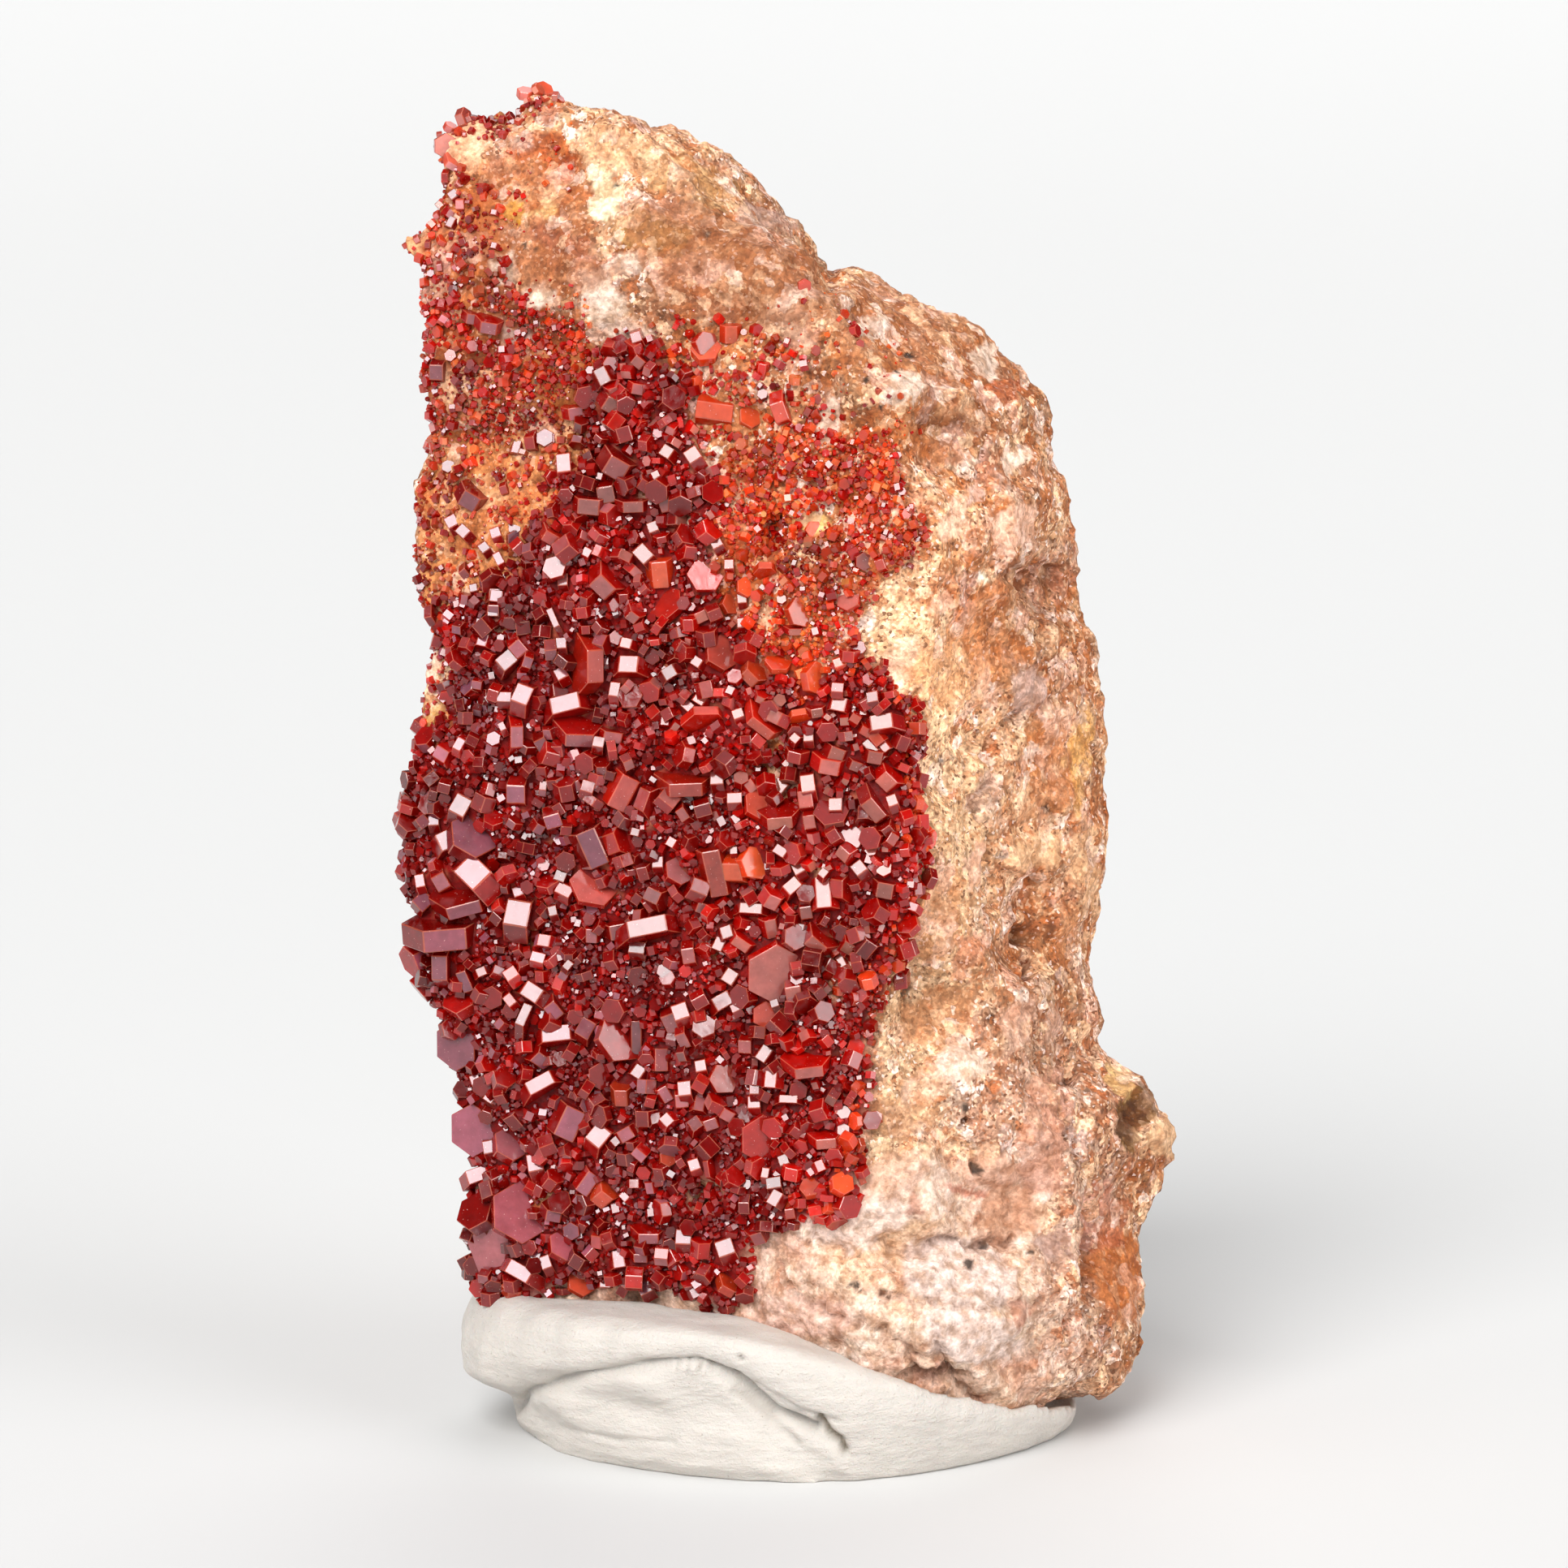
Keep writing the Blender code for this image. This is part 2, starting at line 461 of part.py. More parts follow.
def putty(finish):
    """The lump of putty, from the middle of its top over its sides to its flat foot, less the rock."""
    turns = [2 * math.pi * side / PUTTY_SIDES for side in range(PUTTY_SIDES)]
    rings = [[putty_point(turn, i / PUTTY_TOP_RINGS, 1.0) for turn in turns] for i in range(1, PUTTY_TOP_RINGS)]
    for i in range(PUTTY_WALL_RINGS, -1, -1):
        rings.append([putty_point(turn, 1.0, i / PUTTY_WALL_RINGS) for turn in turns])
    lump = loft(rings, "putty", finish)
    boolean(lump, loft(rock_rings(PUTTY_GAP), "rock_copy", finish), "DIFFERENCE")
    largest_piece(lump)


def build():
    clear_scene()
    rock_finish = material("barite_rock", ROCK_COLOUR, 0.8)
    crystal_finish = material("vanadinite", CRYSTAL_COLOUR, 0.2)
    putty_finish = material("putty", PUTTY_COLOUR, 0.6)

    rock = loft(rock_rings(), "rock", rock_finish)
    rock_surface = surface_of(rock)
    patches = (
        ("crystal_crust", CRUST_OUTLINE, CRUST_FILL),
        ("upper_crystal_band", BAND_OUTLINE, BAND_FILL),
        ("crown_crystals", CROWN_OUTLINE, CROWN_FILL),
    )
    for name, outline, fill in patches:
        big = tuple(c for c in BIG_CRYSTALS if inside(outline, c[0], c[1]))
        small = filling_crystals(outline, fill, big, rock_surface)
        crystal_crust(name, outline, (*big, *small), crystal_finish)
    putty(putty_finish)


build()
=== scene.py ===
"""A vanadinite specimen dressed for rendering: barite rock, its red crystals and a lump of putty."""

import itertools
import math
import random

import bmesh
import bpy
import numpy as np
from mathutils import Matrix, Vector, noise
from mathutils.bvhtree import BVHTree


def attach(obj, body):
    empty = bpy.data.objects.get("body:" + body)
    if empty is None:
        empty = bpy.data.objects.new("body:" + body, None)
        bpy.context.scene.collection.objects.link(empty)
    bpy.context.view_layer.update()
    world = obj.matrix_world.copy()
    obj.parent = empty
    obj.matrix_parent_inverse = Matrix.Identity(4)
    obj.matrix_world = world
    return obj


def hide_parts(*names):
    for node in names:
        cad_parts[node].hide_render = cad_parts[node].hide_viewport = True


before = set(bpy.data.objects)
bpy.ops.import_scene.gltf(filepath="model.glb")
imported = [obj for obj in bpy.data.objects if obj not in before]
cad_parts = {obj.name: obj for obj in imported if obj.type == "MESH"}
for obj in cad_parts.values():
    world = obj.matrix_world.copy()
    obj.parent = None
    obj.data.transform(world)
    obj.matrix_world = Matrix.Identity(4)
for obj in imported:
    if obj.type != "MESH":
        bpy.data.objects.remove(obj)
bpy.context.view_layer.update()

MM = 0.001
FRONT = Vector((0, -1, 0))

# The camera, and the photo's frame as it sees it. Places on the front of the specimen are given in pixels
# of that frame, and land on whatever surface shows there.
PHOTO_SIZE = 1932
MIDDLE = PHOTO_SIZE / 2
ELEVATION = math.radians(8)
DISTANCE, LENS, SENSOR = 337 * MM, 130, 36
AIM = Vector((0, 0, 38.6 * MM))
BACK = Vector((0, -math.cos(ELEVATION), math.sin(ELEVATION)))
UP = Vector((0, math.sin(ELEVATION), math.cos(ELEVATION)))
EYE = AIM + BACK * DISTANCE
PIXEL = DISTANCE * SENSOR / LENS / PHOTO_SIZE  # metres to a pixel, at the distance of AIM

# The floor's radius and height, in metres: flat near the object, rising a little far away.
FLOOR_PROFILE = ((1.2, 0), (1.7, 0.002), (2.2, 0.013), (2.8, 0.045), (3.4, 0.095), (4.0, 0.165), (4.7, 0.27))
FLOOR_SIDES = 96
FLOOR_COLOUR, FLOOR_ROUGHNESS = (0.66, 0.66, 0.655), 0.8
# Lights far away: azimuth, elevation and breadth of the disc in degrees, then strength. Azimuth 0 is in
# front and 90 to the right. The sky is faint and fills the darkest places.
LIGHTS = {
    "key": (-24, 38, 38, 3.4), "right": (58, 16, 44, 2.1), "left": (-72, 10, 40, 0.55),
    "above": (0, 90, 70, 0.8), "behind": (170, 40, 40, 0.8),
}
SKY_COLOUR, SKY_STRENGTH = (0.95, 0.97, 1.0), 0.08

# The side of the small quads that each surface is made of, and how often its facets are eased. Each time the
# points move in by the first share and out by the second, so that nothing shrinks.
ROCK_GRID, ROCK_ROUNDS = 0.49 * MM, 10
PUTTY_GRID, PUTTY_ROUNDS = 0.36 * MM, 25
EASING = (0.55, -0.57)
# The rock's angular blocks: size in millimetres, seed and how far they stand out in millimetres.
CRUMBS = ((3.4, 1.0, 0.42), (1.5, 2.0, 0.26), (0.75, 3.0, 0.14))
LARGE_SEED, SMALL_SEED = 7, 19
# Small crystals: how many places are tried, how near two may stand as a share of both widths, the side of the
# cubes they are sorted into, the width above which their edges are cut, how far back they reach and the
# height below which the crust's belong to the lower piece.
PLACES_TRIED, NEARNESS, CUBE, CUT_FROM = 280000, 0.48, 0.8 * MM, 0.45 * MM
FARTHEST_BACK, LOWER_TOP = 3.0 * MM, 36 * MM
# The deep zone's right fringe, where there are fewer dark crystals: their mix, how many pixels wide the
# fringe is and where it starts.
FRINGE_MIX, FRINGE_WIDTH, FRINGE_LEFT = "oorrrrdd", 26, 960

# Where crystals cover the rock, outlined in pixels. Outlines that end far to the left run on round the edge.
DEEP_ZONE = (
    (800, 425), (845, 470), (850, 530), (885, 600), (875, 680), (900, 760), (940, 820), (1000, 845),
    (1045, 805), (1088, 838), (1134, 890), (1128, 960), (1134, 1060), (1113, 1150), (1093, 1203),
    (1068, 1252), (1078, 1330), (1053, 1398), (1058, 1470), (1021, 1492), (960, 1502), (922, 1530),
    (918, 1580), (893, 1612), (852, 1592), (800, 1576), (740, 1584), (700, 1576), (640, 1592), (600, 1606),
    (440, 1610), (440, 960), (500, 945), (520, 930), (562, 880), (556, 800), (548, 765), (560, 742),
    (620, 722), (640, 700), (655, 660), (690, 620), (682, 590), (720, 572), (724, 545), (702, 522),
    (735, 485), (742, 446),
)
ORANGE_ZONE = (
    (905, 560), (960, 520), (1030, 540), (1085, 530), (1132, 655), (1100, 700), (1060, 760), (1045, 805),
    (1000, 845), (940, 820), (900, 760), (875, 680), (885, 600),
)
CLUSTERED_ZONE = (
    (800, 425), (850, 402), (905, 393), (960, 420), (1000, 480), (1060, 535), (1030, 540), (960, 520),
    (905, 560), (885, 600), (850, 530), (845, 470),
)
LEFT_ZONE = (
    (440, 545), (600, 535), (702, 522), (724, 545), (720, 572), (682, 590), (690, 620), (655, 660),
    (640, 700), (620, 722), (560, 742), (548, 765), (540, 785), (440, 785),
)
EDGE_ZONE = ((440, 785), (540, 785), (556, 800), (562, 880), (520, 930), (440, 945))
BAND_ZONE = (
    (440, 225), (570, 225), (604, 250), (616, 330), (640, 420), (622, 480), (560, 548), (440, 548),
)
SPECKLED_ZONE = (
    (606, 350), (700, 390), (742, 446), (735, 485), (702, 522), (600, 535), (560, 548), (622, 480),
    (640, 420),
)
HORN_ZONE = ((440, 90), (585, 110), (588, 150), (566, 170), (562, 225), (440, 225))
CROWN_ZONE = ((570, 60), (700, 60), (696, 112), (655, 138), (625, 158), (575, 160))
SPRINKLED_ZONE = (
    (600, 180), (700, 110), (720, 190), (640, 300), (760, 400), (900, 380), (1010, 360), (1120, 420),
    (1130, 560), (1085, 530), (1000, 480), (960, 420), (905, 393), (850, 402), (800, 425), (742, 446),
    (620, 340),
)
# Gaps in the crust where the rock shows: pixel, half width, half height, turn in degrees.
GAPS = (
    (952, 930, 26, 44, 15), (968, 972, 14, 32, -20), (1030, 1190, 24, 54, -15), (1008, 1064, 12, 12, 0),
    (962, 1254, 14, 12, 0), (685, 1480, 34, 14, 0), (868, 1470, 30, 22, 0), (660, 1158, 22, 12, 0),
    (940, 760, 16, 50, 0), (640, 772, 34, 14, 0), (838, 640, 14, 14, 0), (716, 640, 10, 14, 0),
    (808, 600, 14, 10, 0), (500, 300, 22, 24, 0), (508, 368, 20, 19, 0), (515, 828, 34, 26, 0),
    (1010, 640, 40, 16, 10), (985, 600, 40, 14, 5), (690, 1036, 14, 10, 0), (884, 1160, 10, 14, 0),
)
# Small crystals by zone: how far back they reach round the left edge in millimetres, how many, least and
# greatest width of a side in millimetres, share that flash, and how many of each colour there are in ten.
SMALL_CRYSTALS = (
    (DEEP_ZONE, -1.0, 6200, 0.16, 0.80, 0.035, "dddddrrmmm"),
    (ORANGE_ZONE, -1.0, 1700, 0.07, 0.40, 0.03, "ttooooorrr"),
    (CLUSTERED_ZONE, -1.0, 180, 0.08, 0.42, 0.04, "ttooorrrpp"),
    (LEFT_ZONE, -1.0, 600, 0.06, 0.34, 0.03, "ttttooorrp"),
    (EDGE_ZONE, -1.0, 60, 0.08, 0.30, 0.06, "ooorrrdppm"),
    (BAND_ZONE, 0.4, 950, 0.07, 0.40, 0.03, "htoooorrrr"),
    (SPECKLED_ZONE, -1.0, 600, 0.06, 0.30, 0.03, "ooooorrrrp"),
    (HORN_ZONE, 1.5, 90, 0.10, 0.34, 0.05, "hhhrrpptto"),
    (CROWN_ZONE, 1.5, 80, 0.10, 0.30, 0.04, "hhrrrropph"),
    (SPRINKLED_ZONE, -1.0, 120, 0.06, 0.22, 0.02, "ttttooorrr"),
)

# The piece that a zone's crystals belong to, where it isn't the main crust.
GROUPS = {BAND_ZONE: "band", HORN_ZONE: "band", CROWN_ZONE: "crown"}

# Crystals read one by one: pixel of the middle of the face that shows, width of a side of the hexagon and
# thickness in pixels, turn of the axis from right towards up, its tilt away from the viewer (0 shows the
# hexagon, 90 a side), and the kind: w flashes, m mauve with a painted reflection on the face that shows,
# d dark red, r red, o orange-red, p pink, t orange-tan, h pale pink.
LARGE_CRYSTALS = """
561 136 14 11 20 65 h
549 150 9 9 60 70 h
541 168 7 7 10 80 h
550 180 16 9 0 15 h
535 195 8 7 15 70 h
556 205 14 11 60 60 h
547 218 11 9 0 75 r
574 142 7 7 30 70 h
583 147 7 7 80 80 r
594 150 7 7 20 70 r
606 151 7 7 60 70 d
617 149 7 7 0 75 d
628 143 7 7 40 70 r
638 135 8 8 0 80 w
631 150 7 7 20 80 w
645 119 11 11 80 70 h
659 111 9 8 30 70 h
669 106 12 11 60 60 h
679 106 8 7 0 75 h
688 119 7 7 50 70 o
558 239 11 12 40 75 w
566 252 11 11 0 70 h
555 273 9 14 70 80 w
537 267 7 8 30 70 h
526 302 7 7 0 75 p
513 296 7 7 30 70 h
608 261 7 7 80 80 w
615 259 7 7 60 70 o
608 302 7 8 80 80 w
594 243 7 7 10 70 o
611 357 7 7 10 75 w
528 322 7 7 20 70 r
544 300 9 8 60 70 o
569 298 8 8 20 70 r
541 330 8 7 10 75 h
560 330 7 7 40 75 h
580 337 7 7 0 70 o
742 724 26 26 45 62 m
693 714 15 13 0 70 w
611 734 15 15 85 85 w
608 753 14 14 0 80 m
681 761 25 8 25 80 w
691 792 14 14 0 85 w
624 813 22 20 -50 70 w
638 800 18 18 40 80 m
691 829 15 15 210 75 w
643 855 24 22 -25 60 w
696 866 36 22 -75 70 w
734 821 40 22 180 68 p
774 818 24 22 -90 80 w
771 792 14 13 80 85 w
714 913 34 20 88 62 m
755 909 22 14 80 80 m
637 908 26 16 180 80 m
668 919 18 16 30 75 m
768 978 22 44 63 80 p
790 985 26 20 -20 50 r
635 979 22 24 0 70 m
757 849 18 13 -10 70 w
500 1016 20 20 200 60 m
534 1010 14 14 0 85 w
567 992 24 22 -30 80 w
551 1034 24 24 115 80 w
584 1028 32 26 60 40 m
582 1074 36 33 229 68 w
517 1085 16 12 10 80 w
543 1087 20 18 30 80 m
521 1110 20 20 -45 80 m
572 1122 42 18 105 68 m
637 1125 32 31 -12 70 w
638 1098 12 13 20 85 w
548 1159 52 28 94 84 m
541 1193 30 20 0 80 m
572 1210 26 14 23 75 m
511 1187 22 20 200 60 m
516 1220 18 16 220 70 r
655 1222 24 20 60 70 w
730 1046 24 48 113 82 m
752 1040 24 22 20 50 r
733 1089 32 10 80 40 p
797 1141 48 22 102 80 w
762 1149 20 20 100 80 m
883 958 17 17 0 80 w
845 974 40 18 92 75 p
959 969 18 18 -40 68 w
995 965 22 18 8 80 w
992 985 20 18 8 86 m
1022 946 24 20 80 80 m
1055 945 14 13 70 80 m
1029 991 16 17 0 80 w
1076 999 29 18 40 80 m
1092 964 20 20 45 75 m
1099 986 14 13 20 75 w
938 990 22 12 60 35 p
961 1015 30 17 95 75 m
997 1013 16 15 10 80 m
1027 1017 24 10 100 45 m
1050 1030 17 10 90 35 w
810 1062 14 14 0 80 w
838 1072 20 12 60 40 m
881 1077 21 60 101 80 p
900 1075 22 30 10 55 o
932 1063 22 14 20 35 o
961 1048 16 12 60 80 w
983 1069 15 14 30 80 w
976 1091 20 16 130 75 w
1014 1099 18 40 -83 76 w
1030 1095 22 20 0 55 r
1058 1069 16 16 40 80 w
1090 1098 19 20 80 80 m
925 1119 28 13 88 85 w
866 1120 15 14 70 80 m
951 1145 14 26 103 75 m
895 1148 14 16 110 80 w
913 1164 22 14 55 80 m
993 1125 15 15 10 80 m
848 1178 18 16 10 80 m
957 1201 40 16 -60 14 m
1005 1166 24 18 50 70 m
978 1226 20 20 10 80 m
899 1203 16 18 60 75 w
890 1233 22 18 -60 75 m
944 1251 18 14 0 12 p
838 1246 20 20 20 75 w
826 1262 24 18 25 78 m
841 1283 20 14 25 70 m
1038 1223 12 10 90 80 o
815 1306 15 28 -90 76 m
863 1313 14 14 10 85 w
893 1329 20 12 30 22 p
917 1290 15 17 0 75 m
941 1298 14 20 60 80 w
997 1322 34 16 97 65 m
843 1341 18 17 5 80 w
840 1357 16 16 5 86 m
862 1359 12 20 -100 50 m
820 1349 12 20 120 80 m
896 1375 15 14 60 80 m
876 1386 16 14 110 80 m
929 1358 15 16 0 80 w
971 1354 22 10 -90 60 w
941 1404 31 12 0 15 r
965 1429 13 13 20 80 w
1018 1410 24 14 95 75 m
1039 1392 9 10 0 15 w
1039 1457 16 14 60 40 o
1000 1475 14 12 100 45 o
973 1496 12 12 10 80 p
1055 1290 12 12 40 20 r
870 1441 20 8 10 60 r
855 1435 14 14 20 75 w
824 1426 12 10 60 30 o
561 1289 32 20 180 30 m
576 1248 24 20 120 45 r
645 1250 28 12 -25 65 w
682 1246 20 18 40 75 m
685 1273 36 20 -82 68 w
721 1267 22 20 -30 68 m
767 1277 34 14 35 35 r
784 1279 12 44 90 80 m
665 1334 34 18 -62 48 w
741 1326 18 12 0 15 r
786 1320 14 16 60 80 w
765 1354 15 24 90 72 o
702 1385 25 40 65 84 m
737 1399 25 24 -40 70 w
771 1398 17 16 -60 75 m
582 1393 34 18 180 25 m
602 1413 16 15 10 80 w
631 1408 24 18 60 40 m
585 1330 12 12 20 80 w
603 1352 13 12 60 80 w
659 1432 22 20 10 70 w
588 1447 27 18 -70 55 w
643 1493 40 20 60 25 m
741 1479 18 26 50 60 o
724 1459 16 30 55 80 m
682 1499 18 16 80 75 m
593 1514 26 20 120 50 m
563 1524 18 18 190 60 m
611 1543 42 20 200 30 m
639 1566 32 18 65 75 w
672 1555 16 13 20 75 w
697 1533 22 14 60 40 m
734 1531 16 14 0 60 p
762 1551 14 22 100 75 w
789 1551 16 12 90 75 m
842 1524 18 20 -5 80 w
799 1527 24 14 90 75 m
718 1578 20 10 60 35 o
746 1580 14 13 90 75 w
893 1537 20 22 20 70 w
895 1592 18 14 60 50 o
634 1598 16 14 90 60 o
792 682 22 18 45 78 w
804 649 13 13 20 80 w
882 668 14 14 30 80 w
813 709 18 34 95 78 o
870 707 24 10 90 25 r
921 722 14 10 60 25 o
914 737 12 12 5 80 w
902 744 14 10 30 40 o
898 695 12 12 0 80 w
914 767 12 12 5 75 w
819 742 24 12 130 40 r
865 760 16 14 115 80 m
943 696 16 10 -90 50 o
1004 653 12 8 30 20 o
1065 692 12 8 0 20 m
1084 696 12 12 20 75 p
1045 738 16 8 120 40 m
988 754 20 10 20 35 o
980 779 15 9 90 75 m
892 803 24 14 60 30 p
858 815 13 12 60 80 w
923 836 20 18 45 60 o
960 828 18 10 90 45 o
937 898 34 16 52 56 p
1009 836 22 14 10 40 o
1033 867 18 18 80 75 w
1086 889 27 20 100 75 w
870 875 30 12 -90 52 p
909 879 12 14 20 80 w
862 861 15 13 60 80 w
847 869 14 12 50 80 w
984 877 18 10 -80 50 o
996 907 13 13 0 80 w
1007 879 14 12 100 75 m
1031 930 18 17 70 80 m
1078 934 17 17 80 80 m
759 578 26 26 60 80 m
853 560 18 18 35 80 w
821 556 15 15 60 75 w
694 570 17 15 60 75 w
671 539 12 12 0 20 w
746 610 20 22 10 75 m
725 625 26 20 85 78 m
780 625 24 14 92 80 m
820 620 20 18 20 75 m
578 618 22 22 60 65 m
926 512 16 14 60 25 o
880 507 20 46 -8 82 o
960 508 24 18 20 75 p
870 428 20 16 95 40 o
901 413 14 22 90 80 o
786 447 14 14 50 75 m
786 480 14 14 80 80 m
754 501 20 20 60 75 m
710 510 18 16 100 75 m
992 352 9 8 0 15 p
602 405 20 16 80 75 m
537 459 18 18 0 70 m
583 394 16 14 80 75 m
556 642 15 15 30 75 w
570 654 15 14 50 75 w
634 650 9 7 0 18 w
552 574 9 8 0 15 w
636 550 10 17 80 80 w
674 540 11 8 0 12 w
652 546 15 14 10 70 r
694 570 24 18 5 75 w
620 604 10 10 20 75 p
574 598 10 10 0 70 p
610 656 13 13 20 78 w
635 664 11 8 0 20 m
596 674 12 12 40 70 w
614 688 16 10 30 60 w
678 664 18 16 60 70 p
572 708 12 12 40 70 p
583 724 10 10 10 75 w
610 732 15 15 90 75 w
607 752 13 15 90 75 w
594 788 12 16 80 60 w
1066 902 12 12 60 70 p
1078 908 12 22 -50 75 p
1072 920 10 20 -50 72 w
1088 918 10 18 -52 75 p
1084 932 9 12 -45 75 w
1030 1170 10 12 -60 75 p
1036 1184 9 16 -62 75 w
1044 1196 9 14 -60 75 p
1028 1204 8 10 -50 70 o
872 424 17 14 20 30 p
864 472 12 10 0 40 o
938 460 9 24 80 75 r
1038 388 7 7 30 50 o
1050 408 9 9 10 60 r
1060 424 6 6 0 20 p
1008 492 7 6 0 20 p
1006 432 7 6 0 25 p
"""

# Colours as they look under the studio light, in 0 to 255. A crystal has its kind's first colour on the face
# that shows, paler with a painted reflection of the soft light, and the second on the rest.
CRYSTAL_COLOURS = {
    "d": ((122, 6, 4), (122, 4, 2)), "r": ((158, 24, 16), (150, 10, 5)), "m": ((150, 78, 78), (138, 8, 4)),
    "w": ((150, 76, 76), (136, 8, 5)), "o": ((192, 70, 42), (180, 48, 18)),
    "p": ((158, 58, 50), (152, 22, 10)), "t": ((200, 104, 66), (190, 78, 38)),
    "h": ((204, 122, 108), (176, 70, 52)),
}
# A painted highlight on the crystals' cut edges.
RIM_HIGHLIGHT = (205, 120, 90)
TAN, CREAM, BROWN, PALE_PINK = (204, 143, 98), (242, 208, 176), (168, 106, 64), (240, 204, 190)
WHITE, MUSTARD, STAIN, LILAC = (250, 232, 224), (200, 146, 48), (214, 116, 58), (206, 180, 176)
ORANGE_BROWN, DARK, ROSE = (194, 118, 68), (70, 60, 54), (206, 128, 104)
BED_RED_GLOW, CHALK = (146, 10, 5), (238, 212, 196)
RUST, DEEP_RUST, ORANGE_TAN, SCARLET = (176, 84, 36), (146, 66, 26), (206, 122, 66), (186, 76, 32)
CHALK_PINK, CHALK_BROWN, CHALK_WHITE = (222, 178, 160), (206, 150, 122), (250, 238, 228)
RIM_CREAM, LEFT_TAN = (252, 220, 188), (234, 166, 112)
CLUSTER_TAN, STAINED_TAN = (226, 158, 112), (206, 122, 68)
# Browns painted as shade in cracks and hollows, and the putty's own colour.
CRACK_SHADE, HOLLOW_SHADE, PUTTY_WHITE = (110, 66, 42), (110, 68, 42), (202, 195, 187)
# Colours of the rock's small blocks, each as likely as the next, and how strongly each shows.
BLOCK_COLOURS = (
    (TAN, 0.0), (CREAM, 0.65), (BROWN, 0.4), (PALE_PINK, 0.8), (TAN, 0.0), (ORANGE_BROWN, 0.6),
    (WHITE, 0.6), (TAN, 0.3), (BROWN, 0.25), (CREAM, 0.45), (TAN, 0.0), (ROSE, 0.4), (TAN, 0.0),
)

# Fragments in the rock's grain by a random number: where a row starts, its colour, how strongly it shows.
LARGE_FRAGMENTS = (
    (0.0, TAN, 0.0), (0.30, PALE_PINK, 0.85), (0.38, TAN, 0.0), (0.52, CREAM, 0.8), (0.62, TAN, 0.0),
    (0.74, WHITE, 0.9), (0.80, TAN, 0.0), (0.86, LILAC, 0.6), (0.90, TAN, 0.0),
)
SMALL_FRAGMENTS = (
    (0.0, TAN, 0.0), (0.24, CREAM, 0.75), (0.34, TAN, 0.0), (0.46, BROWN, 0.6), (0.54, TAN, 0.0),
    (0.62, WHITE, 0.8), (0.68, TAN, 0.0), (0.78, ORANGE_BROWN, 0.7), (0.87, TAN, 0.0),
)
GRAINS = (
    (0.0, (120, 74, 48), 0.7), (0.05, TAN, 0.0), (0.30, ORANGE_BROWN, 0.5), (0.38, TAN, 0.0),
    (0.84, CREAM, 0.5), (0.92, WHITE, 0.6), (0.95, TAN, 0.0),
)
